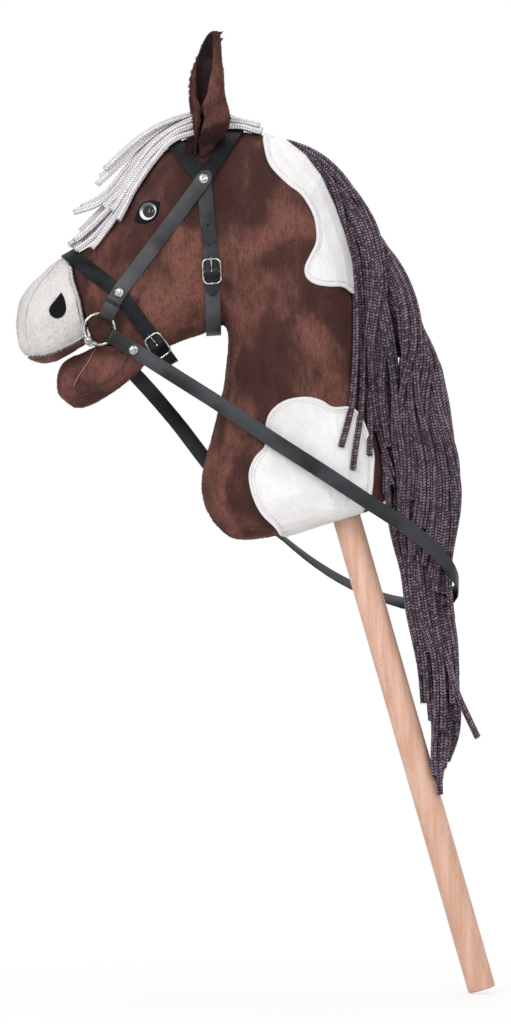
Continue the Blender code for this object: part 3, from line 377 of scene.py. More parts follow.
class TubeBatch:
    def __init__(self):
        self.points, self.faces, self.places = [], [], []

    def ring(self, middle, across, up, sides, size, turn, groove):
        for j in range(sides):
            angle = 2 * math.pi * j / sides
            reach = size * (1 - groove * max(0.0, math.cos(4 * angle)))
            way = across * math.cos(angle + turn) + up * math.sin(angle + turn)
            self.points.append(middle + reach * way)

    def add(self, path, radius, sides, seed=0.0, groove=0.0, turn=0.0, twist=0.0, ends=(0.8, 1.06)):
        path = np.array(path, float)
        along = np.gradient(path, axis=0)
        along /= np.linalg.norm(along, axis=1)[:, None]
        lengths = lengthsOf(path)
        across = np.cross(along[0], (0, 1, 0) if abs(along[0][1]) < 0.9 else (1, 0, 0))
        start = len(self.points)
        last = len(path) - 1
        for i, p in enumerate(path):
            across = across - along[i] * across.dot(along[i])
            across /= np.linalg.norm(across)
            size = radius * (ends[0] if i == 0 else ends[1] if i == last else 1.0)
            self.ring(p, across, np.cross(along[i], across), sides, size,
                      turn + twist * math.sin(lengths[i] * 31 + seed * 90), groove)
        for i in range(last):
            for j in range(sides):
                k = (j + 1) % sides
                a, b = start + i * sides, start + (i + 1) * sides
                self.faces.append([a + j, a + k, b + k, b + j])
                u0, u1 = j / sides, (j + 1) / sides
                v0, v1 = lengths[i] + seed, lengths[i + 1] + seed
                self.places += [(u0, v0), (u1, v0), (u1, v1), (u0, v1)]
        for ring, order in ((0, -1), (last, 1)):
            self.faces.append([start + ring * sides + j for j in range(sides)][::order])
            self.places += [(0.5, lengths[ring] + seed)] * sides

    def hair(self, root, tip, radius):
        # one thin closed tuft of pile or frayed yarn
        root, tip = np.array(root, float), np.array(tip, float)
        along = (tip - root) / np.linalg.norm(tip - root)
        across = np.cross(along, (0.3, 0.9, 0.2))
        across /= np.linalg.norm(across)
        start = len(self.points)
        self.ring(root, across, np.cross(along, across), 3, radius, 0.0, 0.0)
        self.points.append(tip)
        for j in range(3):
            self.faces.append([start + j, start + (j + 1) % 3, start + 3])
        self.faces.append([start + 2, start + 1, start])
        self.places += [(0.5, 0.0)] * 12

    def fray(self, path, radius, count, length, chance):
        # loose yarn at a cut end
        tip = np.array(path[-1], float)
        along = tip - np.array(path[-2], float)
        along /= np.linalg.norm(along)
        for _ in range(count):
            aside = np.array([chance.uniform(-1, 1) for _ in range(3)])
            aside -= along * aside.dot(along)
            aside /= max(1e-6, np.linalg.norm(aside))
            root = tip + aside * radius * chance.uniform(0.1, 0.85) - along * 0.001
            way = along + aside * chance.uniform(0.0, 0.6)
            self.hair(root, root + way * (length * chance.uniform(0.4, 1)), radius * 0.16)

    def finished(self, name):
        piece = addMesh(name, self.points, self.faces)
        layer = piece.data.uv_layers.new(name="cordMap")
        layer.data.foreach_set("uv", np.array(self.places, np.float32).ravel())
        smoothShade(piece)
        return piece


patchNodes = ["%s_patch_%s" % (word, side) for word in ("crest", "shoulder") for hand, side in hands]
bodyTree = treeOf("neck_plush", "head_plush", *patchNodes)


def beside(x, z, hand, tree=bodyTree):
    # how far the plush reaches from the middle, in metres
    hit = tree.ray_cast(Vector((x, hand * 0.2, z)), Vector((0, -hand, 0)))[0]
    return hit.y * hand if hit is not None and hit.y * hand > 0 else 0.0


crestPath = resampled([sidePoint(*p) for p in crestLine], 0.001)


def apart(x, y, least, turns, front, back, floor):
    # cords of one level move off each other, and stay in the mane's room
    for _ in range(turns):
        dx, dy = x[:, None] - x[None, :], y[:, None] - y[None, :]
        gap = np.hypot(dx, dy) + np.eye(len(x)) * 1e3 + 1e-6
        push = np.clip(least - gap, 0, None) / 2 / gap
        x = np.clip(x + (dx * push).sum(1) * 0.7, front, back)
        y = np.maximum(y + (dy * push).sum(1) * 0.7, floor)
    return x, y


# how the mane hangs, in millimetres: its levels, how soon a cord drifts to its place, how long its roots
# hold it, its sway, how deep the upper and the lower layer lie, how soon it sinks to that depth, and how
# near to its stitches it stays low; then how far it is led past its length, and how often the cords of a
# level push apart and a finished cord is eased
hang = {"top": 377.0, "low": -350.0, "step": 2.0, "drift": 0.055, "fanDrift": 0.25, "held": 90, "sway": 0.12,
        "swayPitch": 55, "over": 0.95, "under": 1.9, "underStep": 0.9, "sink": 0.10, "near": 26,
        "spare": 40, "pushes": 7, "easing": 18}
# the cord that strays: the height of its stitches, where it leaves the others and within how much, the
# column that it comes to, where it bends and how steeply, and how far it stands out on its way
stray = {"root": 82, "leaves": -120, "within": 70, "column": 110, "bends": -178, "slope": 0.47, "out": 7}


def maneLength(k):
    return cords["fanLength"][cords["fan"].index(k)] if k in cords["fan"] else cords["maneLength"]


def hangMane(hand, chance):
    # all cords of one side come down together, level by level, in millimetres of the side view
    count, thick = cords["perSide"], cords["maneDiameter"] * 1000
    radius = thick / 2
    roots = crestPath[[int((len(crestPath) - 1) * (k + 0.35) / count) for k in range(count)]]
    rootX = (roots[:, 0] - exitPoint.x) * 1000
    rootTop = (roots[:, 2] - exitPoint.z) * 1000
    rank = np.arange(count)
    fan = np.isin(rank, cords["fan"])
    over = rank < cords["over"] + (2 if hand > 0 else 0)
    x, y, share = rootX.copy(), np.full(count, 1.5), np.zeros(count)
    run, begun = np.zeros(count), np.zeros(count, bool)
    phase = np.array([chance.uniform(0, 6.3) for _ in rank])
    sway = np.array([chance.uniform(0.2, 0.7) for _ in rank])
    settle = 0.0 if hand < 0 else 0.35 / cords["over"]      # so the right cords show in the left ones' gaps
    strayCord = int(np.abs(rootTop - stray["root"]).argmin())
    routes = [[] for _ in rank]
    for height in np.arange(hang["top"], hang["low"], -hang["step"]):
        front, back, half = (between(maneShape, height, k) for k in (1, 2, 3))
        fanFront, fanBack = (between(fanShape, height, k) for k in (1, 2))
        for k in np.flatnonzero(~begun & (rootTop >= height)):
            begun[k] = True
            x[k] = rootX[k]
            share[k] = (rootX[k] - front) / (back - front)
            routes[k].append(sidePoint(rootX[k], rootTop[k], hand * 0.0012))
        live = np.flatnonzero(begun & (run < cords["maneLength"] * 1000 + hang["spare"]))
        if not len(live):
            continue
        for group in (live[over[live] & ~fan[live]], live[~over[live]]):
            for place, k in enumerate(group):
                share[k] += ((place + 0.5) / len(group) + settle - share[k]) * hang["drift"]
        for k in live[fan[live]]:
            share[k] += ((cords["fan"].index(k) + 0.5) / len(cords["fan"]) - share[k]) * hang["fanDrift"]
        last = np.stack([x[live], y[live]], 1)
        free = np.clip((rootTop - height) / hang["held"], 0, 1)
        x[live] = np.where(fan[live], fanFront + (fanBack - fanFront) * share[live],
                           front + (back - front) * share[live])
        x[live] += (free * sway * np.sin(phase + height / hang["swayPitch"]))[live] * hang["sway"]
        middle, wide = (front + back) / 2, (back - front) / 2 + 4
        lens = half * np.sqrt(np.clip(1 - ((x[live] - middle) / wide) ** 2, 0.08, 1))
        second = rank[live] % 2
        depth = np.where(over[live], second * hang["over"], hang["under"] + second * hang["underStep"])
        y[live] += (np.maximum(lens - radius - depth * thick, radius) - y[live]) * hang["sink"]
        floor = []
        for k in live:
            place = sidePoint(x[k], height)
            clear = beside(place.x, place.z, hand) * 1000
            floor.append(clear + radius + 0.5 if clear else radius * 0.9)
        low = np.where(fan[live], fanFront - 2, front + radius * 0.7)
        high = np.where(fan[live], fanBack + 2, max(front + thick, back - radius))
        x[live], y[live] = apart(x[live], y[live], thick * 0.97, hang["pushes"], low, high, np.array(floor))
        near = 1 - np.clip((rootTop[live] - height) / hang["near"], 0, 1)
        y[live] = y[live] * (1 - near) + np.minimum(y[live], 1.5 + (1 - near) * radius * 2) * near
        share[live] = np.where(fan[live], (x[live] - fanFront) / (fanBack - fanFront),
                               (x[live] - front) / (back - front))
        run[live] += np.sqrt(((np.stack([x[live], y[live]], 1) - last) ** 2).sum(1) + hang["step"] ** 2)
        for k in live:
            astray = k == strayCord and hand < 0
            lean = eased01((stray["leaves"] - height) / stray["within"]) if astray else 0.0
            aside = (stray["column"] + max(0.0, stray["bends"] - height) * stray["slope"] - x[k]) * lean
            out = hand * (y[k] + stray["out"] * math.sin(math.pi * lean))
            routes[k].append(sidePoint(x[k] + aside, height, out))
    smooth = [resampled(eased(resampled(r, cords["step"]), hang["easing"]), cords["step"]) for r in routes]
    return [cutTo(route, maneLength(k)) for k, route in enumerate(smooth)]


maneRoutes = {side: hangMane(hand, random.Random(7 + hand)) for hand, side in hands}
print("mane hung")

# forelock layers from the one on the forehead up: how far the layer moves in to the face, the line in the
# photo that it follows, in pixels, and its cords: place across at the ears and at the end, share of the
# line, and how far the cord spreads off the line
forelockLayers = [
    (4.6, [(262, 133), (240, 128), (212, 127), (190, 132.5), (176, 139), (162, 148), (148, 160.5),
           (142.5, 170), (133, 182.5), (126, 193), (119.5, 205), (113, 213), (106, 221), (99, 234.5),
           (89, 246.5), (74, 255)],
     [(-15, -30, 0.79, -3), (-10, -23, 0.94, -1), (-4, -14, 1.0, 0), (2, -5, 0.96, 2), (8, 6, 1.0, 0),
      (14, 20, 0.84, 0)]),
    (3.4, [(260, 126), (238, 120.5), (211, 120), (188, 126), (173.5, 133), (158.5, 143), (144, 156.5),
           (138, 167), (128.5, 179.5), (121, 190), (114.5, 201.5), (108, 209), (100.5, 215.5), (90.5, 226),
           (79.5, 236.5), (66, 243.5)],
     [(-13, -24, 0.78, 0), (-7, -17, 0.97, 3), (-1, -8, 1.0, 0), (5, 2, 0.92, 7), (11, 13, 0.93, 0)]),
    (1.6, [(252, 127), (234, 119.5), (209, 115.5), (186, 121), (170.5, 128.5), (155, 138.5), (140, 153),
           (133.5, 163.5), (124, 176), (116, 187.5), (107, 197.5), (98, 203.5), (86, 208), (73, 211)],
     [(-10, -15, 0.88, -5), (-4, -7, 1.0, 0), (2, 1, 0.95, 5), (8, 9, 0.99, 2)]),
    (0.0, [(246, 125), (228, 116), (207, 112), (187, 115.5), (169, 123.5), (154.5, 133.5), (141, 145),
           (127, 157.5), (112.5, 171), (98, 184)],
     [(-6, -9, 0.92, 7), (0, -2, 1.0, 0), (6, 5, 0.96, 3.5)]),
]


def spline(points, count):
    points = [np.array(p, float) for p in points]
    points = [points[0] * 2 - points[1]] + points + [points[-1] * 2 - points[-2]]
    found = []
    for k in range(1, len(points) - 2):
        a, b, c, d = points[k - 1:k + 3]
        for t in np.linspace(0, 1, count, endpoint=False):
            found.append(0.5 * (2 * b + (c - a) * t + (2 * a - 5 * b + 4 * c - d) * t ** 2
                                + (3 * b - a - 3 * c + d) * t ** 3))
    return found + [points[-2]]


underForelock = treeOf("head_plush", "neck_plush", "muzzle_plush", "crown_strap", "browband")


def forelockStart():
    chance = random.Random(5)
    paths = []
    for inside, line, members in forelockLayers:
        for near, far, share, spread in members:
            lift = chance.uniform(-0.6, 0.6)
            points = []
            for k, (px, py) in enumerate(line):
                t = k / (len(line) - 1)
                aside = near + (far - near) * t ** 1.4
                inward = inside * min(1.0, t / 0.3) + 0.006 * aside ** 2 * t
                inward -= spread * eased01((t - 0.3) / 0.35)
                points.append(sidePoint(px - picture["column"] + lift * t + 0.8 * inward,
                                        picture["row"] - py + lift * t - 0.6 * inward, aside))
            path = resampled(spline(points, 6), cords["step"])
            paths.append(path[:max(8, int(len(path) * share))])
    return paths


def settled(paths, diameter, turns):
    # the cords of the forelock move off each other and off the head
    clear = diameter / 2 + 0.0004
    for _ in range(turns):
        for a in range(len(paths)):
            for b in range(a + 1, len(paths)):
                n = min(len(paths[a]), len(paths[b]))
                gap = paths[a][:n] - paths[b][:n]
                size = np.linalg.norm(gap, axis=1)[:, None] + 1e-9
                push = np.clip(diameter * 0.97 - size, 0, None) / 2 / size * gap * 0.6
                push[0] = 0
                paths[a][:n] += push
                paths[b][:n] -= push
        for path in paths:
            for k in range(len(path)):
                p = Vector(path[k])
                spot, normal = underForelock.find_nearest(p)[:2]
                away = (p - spot).dot(normal)
                outside = math.copysign((p - spot).length, away)
                if outside < clear:
                    path[k] = p + normal * (clear - outside)
            path[:] = eased(path, 1)
    return [resampled(path, cords["step"]) for path in paths]


forelockPaths = settled(forelockStart(), cords["forelockDiameter"], cords["settling"])
print("forelock laid")


# finishes

def cordFinish(name, colours, pitch, sheen, relief):
    # a round plait: two chevrons round the cord, each of two slanting columns of stitches; the hollows
    # between stitches and the cord's sides get painted shade
    gap, dark, light = colours.split()
    made = Finish(name, {"Sheen Weight": sheen, "Sheen Roughness": 0.4, "Specular IOR Level": 0.35})
    across, along = made.ownMap()
    columns = across * 2
    slant = (columns.part() * 2 - 1).size()
    thread = along / pitch + slant * 0.85
    crown = (thread * math.pi).wave().size()
    edge = ((columns * 2).part() * 2 - 1).size()
    strands = made.noise(1.0, 2, 0.6, made.vector(along * 1300, columns * 7 + thread * 4))
    stitch = made.speck(made.vector((columns * 2).floor(), thread.floor()))
    share = (stitch * 0.3 + strands * 0.35 + made.noise(26) * 0.35).step(0.3, 0.68)
    # painted shade: the first colour, near black, fills the hollows between stitches and the cord's sides
    paintedHollowShade = (1 - crown.step(0.22, 0.80)).most((edge - 0.62) * 3)
    height = crown * (1 - edge ** 4) + strands * 0.18
    return made.feed({"Base Color": made.mix(paintedHollowShade, made.mix(share, dark, light), gap),
                      "Roughness": 0.5 + strands * 0.25, "Normal": made.bump(height, 0.0012, relief)})


# each cord's first colour is its painted shade, then come its dark and light tones
maneCord = cordFinish("mane cord", "#0a0509 #493746 #8f7a8b", 0.0030, 0.12, 1.0)
whiteCord = cordFinish("white cord", "#b3afb3 #e2dfe2 #f5f3f5", 0.0026, 0.1, 0.5)


def plushFinish(name, colours, patchSize, sheen, contrast, zones=()):
    # short pile, brushed here and there, so that broad soft patches of it look darker
    deep, middle, light = colours.split()
    made = Finish(name, {"Sheen Weight": sheen, "Sheen Roughness": 0.5, "Sheen Tint": light,
                         "Specular IOR Level": 0.2})
    brushed = made.place((1, 1, 0.6), (0, 0.3, 0))
    patches = made.noise(1 / patchSize, 2, 0.45, brushed, 0.7)
    broad = made.noise(0.4 / patchSize, 2, 0.5, brushed)
    tufts = made.noise(5 / patchSize, 4, 0.6, brushed, 0.5)
    pile = made.place((1, 1, 0.22), (0, 0.25, 0))
    fibres = made.noise(1150, 3, 0.65, pile, 0.3)
    strands = made.noise(420, 3, 0.6, pile, 0.4)
    height = patches * 0.6 + broad * 0.28 + tufts * 0.12
    for u, v, reach, change in zones:
        away = made.around(sidePoint(u, v)).length()
        height = height + (1 - away.step(reach * 0.0003, reach * 0.001)) * change
    shade = height.step(0.29, 0.69)
    tone = made.mix(shade, deep, middle)
    tone = made.mix((strands * 0.28 + tufts * 0.10 + shade * 0.62).step(0.38, 0.94) * 0.9, tone, light)
    tone = made.mix((1 - strands.step(0.32, 0.52)) * contrast * 0.9, tone, deep)
    tone = made.mix((1 - fibres.step(0.32, 0.54)) * contrast, tone, deep)
    fine = made.bump(fibres * 0.6 + strands * 0.4, 0.0011, 0.85)
    return made.feed({"Base Color": tone, "Roughness": 0.88 + fibres * 0.1,
                      "Normal": made.bump(patches * 0.5 + tufts * 0.5, 0.0024, 0.4, fine)})


# places where the plush is made darker or lighter: side view, reach in millimetres, change
zones = [(-160, 215, 80, 0.04), (-125, 340, 75, -0.20), (-225, 145, 45, 0.14), (-60, 20, 70, -0.05),
         (-128, 440, 50, 0.05), (20, 330, 60, -0.02)]
brownPlush = plushFinish("brown plush", "#3a2321 #593934 #7f5349", 0.036, 0.18, 0.36, zones)
# a paler copy of the brown plush for the upper lip: painted sheen
lipPlushPaintedSheen = plushFinish("lip plush painted sheen", "#4f3430 #73504a #966f66", 0.034, 0.22, 0.3)
whitePlush = plushFinish("white plush", "#cbc6c5 #d2cdcc #dcd9d8", 0.034, 0.1, 0.25)
# a lighter copy of the white plush for the patches: painted light against the shade that falls on them lower
# down
patchPlushPaintedLighter = plushFinish("patch plush painted lighter", "#dedcdc #e7e5e6 #f0eff0", 0.034, 0.1, 0.2)
darkLining = plushFinish("dark lining", "#1a1214 #281c1f #3a2b2d", 0.020, 0.2, 0.4)


def trimFinish():
    # satin stitches side by side over the edge of each white patch
    made = Finish("white trim", {"Sheen Weight": 0.3, "Sheen Roughness": 0.3, "Specular IOR Level": 0.45})
    across, along = made.ownMap()
    thread = (along * (math.pi / 0.0007) + across * 2).wave().size()
    fuzz = made.noise(900, 2, 0.6)
    return made.feed({"Base Color": made.mix(thread * 0.6 + fuzz * 0.4, "#dcdadb", "#f7f6f6"),
                      "Roughness": 0.42 + fuzz * 0.2, "Normal": made.bump(thread + fuzz * 0.3, 0.0004, 0.7)})


whiteTrim = trimFinish()


def threadFinish(name, dark, light):
    made = Finish(name, {"Roughness": 0.8, "Sheen Weight": 0.2})
    across, along = made.ownMap()
    twist = ((along / 0.0016 + across).part() * 2 - 1).size()
    return made.feed({"Base Color": made.mix(twist, dark, light), "Normal": made.bump(twist, 0.0004, 0.6)})


# painted shade: a near-black thread finish for the tube that lies in the jaw's crease
creaseShade = threadFinish("painted crease shade", "#24130f", "#3d241e")
paleThread = threadFinish("pale thread", "#7d5348", "#a67f73")
greyThread = threadFinish("grey thread", "#c9c6c6", "#dddada")


def leatherFinish(name, low, high, gloss, holes=()):
    # smooth bridle leather with broad greyer patches of painted sheen, painted shade where it turns edge-on,
    # and punched holes painted near black where given
    made = Finish(name, {"Specular IOR Level": gloss, "Coat Roughness": 0.32})
    grain = made.cells(1500)
    soft = made.noise(160, 3, 0.6)
    # painted sheen: broad patches go from the low colour to the greyer high one
    paintedSheen = made.noise(17, 2, 0.5, made.place((1, 0.4, 1)), 0.4)
    tone = made.mix(paintedSheen.step(0.40, 0.62), low, high)
    tone = made.mix(soft.step(0.55, 0.8) * 0.3, tone, "#3f4147")
    height = grain * 0.6 + soft * 0.4
    # painted shade: the punched holes are painted near black and sunk by the bump, for their depth
    for spot in holes:
        inside = 1 - made.around(spot).length().step(0.0010, 0.0015)
        tone = made.mix(inside, tone, "#050505")
        height = height - inside * 6
    # painted shade: towards near black where the surface turns away from the side, at edges and where a strap
    # turns
    facing = made.at("Normal").axis(1).size()
    tone = made.mix((1 - facing.step(0.45, 0.96)) * 0.8, tone, "#07080b")
    return made.feed({"Base Color": tone, "Roughness": 0.38 + soft * 0.22,
                      "Coat Weight": (0.10 - soft * 0.08) * (gloss * 3),
                      "Normal": made.bump(height, 0.00035, 0.4)})


punched = [sidePoint(-136.4, 285), sidePoint(-134, 265)]
# one black leather in copies with greyer high tones: the greyer copies are painted light and sheen
blackLeather = leatherFinish("black leather", "#08090c", "#1a1c22", 0.12)
paintedLitLeather = leatherFinish("worn leather", "#121317", "#38383e", 0.32)
punchedLeather = leatherFinish("punched leather", "#2c2c33", "#55545c", 0.32, punched)
reinLeather = leatherFinish("rein leather", "#0b0c10", "#303136", 0.28)
leathers = {"throatlatch": punchedLeather, "throatlatch_billet": reinLeather, "rein": reinLeather,
            "cheekpiece_left": paintedLitLeather, "cheekpiece_right": paintedLitLeather}


def nickelFinish():
    made = Finish("nickel", {"Specular IOR Level": 0.5})
    haze = made.noise(300, 3, 0.6)
    scuffs = made.noise(1600, 2, 0.5, made.place((1, 1, 0.1), (0.6, 0.2, 0.9)))
    return made.feed({"Base Color": made.mix(haze.step(0.35, 0.65), "#8d8a88", "#cbc7c5"),
                      "Metallic": 1 - haze * 0.06, "Roughness": 0.12 + haze * 0.14 + scuffs * 0.06,
                      "Normal": made.bump(haze * 0.6 + scuffs * 0.4, 0.0001, 0.2)})


nickel = nickelFinish()


def feltFinish():
    made = Finish("black felt", {"Sheen Weight": 0.08, "Specular IOR Level": 0.1})
    hair = made.noise(1400, 3, 0.7, bend=1.0)
    return made.feed({"Base Color": made.mix(hair, "#060709", "#191a1d"), "Roughness": 0.85 + hair * 0.15,
                      "Normal": made.bump(hair, 0.0006, 0.9)})


blackFelt = feltFinish()


def beechFinish():
    made = Finish("beech", {"Specular IOR Level": 0.4, "Coat Roughness": 0.4})
    alongStick = (0, stickLean, 0)
    grainWise = made.place((1, 1, 0.03), alongStick)
    rings = made.noise(130, 4, 0.6, grainWise, 0.5)
    lines = made.noise(520, 4, 0.65, grainWise)
    broad = made.noise(40, 3, 0.5, made.place((1, 1, 0.16), alongStick), 0.8)
    flecks = made.cells(420, made.place((1, 1, 0.13), alongStick))
    tone = made.mix(rings.step(0.3, 0.7), "#cb9d85", "#dab5a1")
    tone = made.mix(lines.step(0.48, 0.78) * 0.5, tone, "#c08c72")
    tone = made.mix(broad.step(0.52, 0.72) * 0.35, tone, "#c48f74")
    tone = made.mix((1 - flecks.step(0.10, 0.20)) * 0.45, tone, "#a8714f")
    return made.feed({"Base Color": tone, "Roughness": 0.40 + lines * 0.22,
                      "Coat Weight": 0.10 + rings * 0.08,
                      "Normal": made.bump(lines * 0.6 + rings * 0.4, 0.0003, 0.35)})


beech = beechFinish()

eyes = {"pupil": 0.0060, "ring": 0.0065, "rim": 0.0097, "middle": sidePoint(-195.4, 298.3)}


def eyeFinish():
    # a moulded eye: dark pupil, a silvery ring with painted light and reflection, white towards the bottom
    # and right and grey towards the top, and a black rim, under a clear gloss
    made = Finish("eye glaze", {"Specular IOR Level": 0.15, "Coat Roughness": 0.03})
    local = made.around(eyes["middle"])
    away, side, height = local.length(), local.axis(0), local.axis(2)
    ring = away.step(eyes["pupil"], eyes["ring"]) * (1 - away.step(eyes["rim"] - 0.0008, eyes["rim"]))
    # painted light and painted reflection: the ring turns white towards the bottom and right, grey towards
    # the top and left
    paintedLight = (side * 30 - height * 95).step(-0.62, 0.02)
    rays = made.noise(1.0, at=made.vector(away * 900, side / (height + 0.03) * 4))
    iris = made.mix(rays * 0.12, made.mix(paintedLight, "#3c4046", "#ffffff"), "#b9bbbe")
    pupil = made.mix(away.step(0.0010, 0.0052), "#010102", "#0b1018")
    return made.feed({"Base Color": made.mix(ring, pupil, iris), "Roughness": 0.10 + ring * 0.2,
                      "Coat Weight": 0.8 - ring * 0.5})


eyeGlaze = eyeFinish()
print("finishes mixed")


# mane and forelock pieces


for side, routes in maneRoutes.items():
    rest, radius = TubeBatch(), cords["maneDiameter"] / 2
    chance = random.Random(21)
    others = sorted(set(range(len(routes))) - set(cords["fan"]), key=lambda k: routes[k][:, 2].min())
    declared = list(cords["fan"]) + others[:cords["declaredPerSide"] - len(cords["fan"])]
    for k, route in enumerate(routes):
        batch = TubeBatch() if k in declared else rest
        lean = chance.uniform(-0.15, 0.15)
        batch.add(route, radius, cords["sides"], k * 0.0137, cords["groove"], lean, 0.2)
        batch.fray(route, radius, *cords["maneFray"], chance)
        if k in declared:
            piece = batch.finished("mane_cord_%s_%02d" % (side, k))
            dress(piece, maneCord)
            maneLength(k)
    dress(rest.finished("mane_" + side), maneCord,
          ["mane_%s_%s" % (lock, side) for lock in ("front", "second", "middle", "fourth", "back")])

chance, radius = random.Random(3), cords["forelockDiameter"] / 2
for k, path in enumerate(forelockPaths):
    batch = TubeBatch()
    batch.add(path, radius, cords["sides"], k * 0.0171, cords["groove"], chance.uniform(-0.6, 0.6), 0.4)
    batch.fray(path, radius, *cords["forelockFray"], chance)
    piece = batch.finished("forelock_cord_%02d" % k)
    dress(piece, whiteCord, ["forelock_left", "forelock_middle", "forelock_right"]
          if k == 0 else ())
print("cords made")


# plush body

plush = {"grow": 0.0004, "voxel": 0.0042, "fineVoxel": 0.0024, "inset": 0.0012, "pressure": 4.0,
         "frames": 20, "cap": 0.0030, "proud": 0.0004, "gathers": 0.0014, "lumps": 0.0007}


def verticesOf(piece):
    found = np.empty(len(piece.data.vertices) * 3)
    piece.data.vertices.foreach_get("co", found)
    return found.reshape(-1, 3)


def moveTo(piece, points):
    piece.data.vertices.foreach_set("co", np.array(points, float).ravel())
    piece.data.update()


# folds that run in to the stick where the plush is tied round it, in millimetres: where they begin and
# end, how soon they rise and fade, and how many broad and fine ones go round
folding = {"begin": 6, "end": 95, "rise": 16, "fade": 34, "broad": 8, "fine": 13}


def gathered(point):
    aside, up = point[0] - exitPoint.x, point[2] - exitPoint.z
    distance = math.hypot(aside, up) * 1000
    if distance > folding["end"] or distance < folding["begin"]:
        return 0.0
    turn = math.atan2(up, aside)
    folds = math.sin(folding["broad"] * turn + 1.3) + 0.6 * math.sin(folding["fine"] * turn + distance / 30)
    fade = math.exp(-(distance / folding["fade"]) ** 2)
    return plush["gathers"] * folds * fade * min(1.0, (distance - folding["begin"]) / folding["rise"])


def lumpy(point):
    p = Vector(point)
    return plush["lumps"] * (noise.noise(p * 38) + 0.6 * noise.noise(p * 85 + Vector((3, 1, 7))))


def raised(point):
    return plush["proud"] + gathered(point) + lumpy(point)


def remeshed(piece, voxel, smooth):
    finishWith(piece, "REMESH", mode="VOXEL", voxel_size=voxel)
    finishWith(piece, "SMOOTH", factor=0.5, iterations=smooth)


def inflated(piece):
    # blown up by cloth pressure from a slightly smaller shape, no point further than the cap
    finishWith(piece, "DISPLACE", strength=-plush["inset"], mid_level=0.0)
    before = verticesOf(piece)
    only(piece)
    modifier = piece.modifiers.new("cloth", "CLOTH")
    modifier.settings.use_pressure = True
    modifier.settings.uniform_pressure_force = plush["pressure"]
    modifier.settings.effector_weights.gravity = 0
    modifier.point_cache.frame_start = 1
    modifier.point_cache.frame_end = plush["frames"]
    for frameNumber in range(1, plush["frames"] + 1):
        bpy.context.scene.frame_set(frameNumber)
    bpy.ops.object.modifier_apply(modifier=modifier.name)
    bpy.context.scene.frame_set(1)
    shift = verticesOf(piece) - before
    size = np.linalg.norm(shift, axis=1)[:, None] + 1e-9
    moveTo(piece, before + shift * np.minimum(1, plush["cap"] / size))


def stuffed(nodeNames, name, voxel):
    # full as its filling makes it, but never out through the straps that lie on it
    piece = copyOf(nodeNames, name)
    skin = treeOf(piece)
    finishWith(piece, "DISPLACE", strength=plush["grow"], mid_level=0.0)
    remeshed(piece, voxel, 4)
    inflated(piece)
    finishWith(piece, "SUBSURF", levels=1, render_levels=1)
    points = verticesOf(piece)
    normals = np.array([v.normal for v in piece.data.vertices])
    for k, point in enumerate(points):
        spot, normal = skin.find_nearest(Vector(point))[:2]
        outside = (Vector(point) - spot).dot(normal)
        wanted = min(outside, plush["proud"])
        points[k] = point + normals[k] * (wanted - outside + gathered(point) + lumpy(point))
    moveTo(piece, points)
    smoothShade(piece)
    return piece


for nodeNames, name, finish, voxel, fill in (
        (["neck_plush", "head_plush"], "head_and_neck", brownPlush, plush["voxel"], 0.85),
        (["upper_lip_plush"], "upper_lip", lipPlushPaintedSheen, plush["fineVoxel"], 0.8),
        (["lower_jaw_plush"], "lower_jaw", brownPlush, plush["fineVoxel"], 0.8),
        (["muzzle_plush"], "muzzle", whitePlush, plush["fineVoxel"], 0.85)):
    piece = stuffed(nodeNames, name, voxel)
    dress(piece, finish, nodeNames)
print("plush stuffed")


# voxel size and turns of smoothing of the pieces that are rounded off
grains = {"ear": (0.0013, 6), "lining": (0.0007, 4), "eye": (0.00035, 10), "patch": (0.0010, 5),
          "metal": (0.0004, 8)}


def remade(node, name, finish, grain):
    piece = copyOf([node], name)
    remeshed(piece, *grains[grain])
    smoothShade(piece)
    dress(piece, finish, [node], bodyOf[node])
    return piece


# the ear as the camera sees it, in pixels: height, front rim, opening's front and back edge, back rim; first
# as it was cut, then as it is worn, with the opening drawn shut below and the pile rolled in above
earCut = np.array([
    (22.5, 213, 213.5, 214, 214.5), (28.3, 207, 208.5, 213.5, 217.3), (37.8, 202.5, 205.3, 213.2, 218.6),
    (44.9, 198.9, 202.4, 212.8, 219.6), (51.9, 195.8, 199, 212.5, 220.5), (69.8, 190.6, 193.7, 211.9, 222.7),
    (83, 190.2, 194.7, 212.5, 224.2), (94.6, 190.8, 195.8, 213, 225.6), (102.9, 191.8, 196.6, 213.2, 226.5),
    (111.2, 192.4, 197, 211.9, 227.4), (119.5, 192.6, 197, 209.4, 226.9), (127.8, 192.4, 197, 206.5, 224.5),
    (143.5, 191, 196.2, 200.3, 212)])
earWorn = np.array([
    (29.5, 213.2, 213.5, 214.3, 214.8), (30.5, 211.6, 212, 214, 217.6), (32, 210.3, 210.7, 213.8, 219),
    (33.3, 209, 209.4, 213.5, 219.6), (36.6, 206.3, 206.7, 213.2, 219.7),
    (44.9, 202, 202.3, 212.4, 219.9), (53, 199, 199.3, 212.6, 220.8), (61.5, 196, 196.4, 212.8, 221.5),
    (69.8, 192.4, 195.3, 211.9, 223.3), (78, 190.8, 196.2, 210.3, 223.7), (86, 190.2, 197, 208.5, 223.8),
    (94.6, 190, 197.8, 206.5, 224.4), (102.9, 191, 200.3, 203.2, 226.3), (107, 191.6, 201.2, 201.9, 227.8),
    (115, 192.2, 200.6, 201.4, 229.5), (123.7, 193, 199.3, 200, 230.2), (128.6, 194, 198.6, 199.2, 229.8),
    (143.5, 196, 197.2, 198, 214)])
earScale = 1.0053      # the ear stands nearer to the camera than the middle of the horse
cutScale = 1.0144      # the same when its cut was measured, from a closer camera
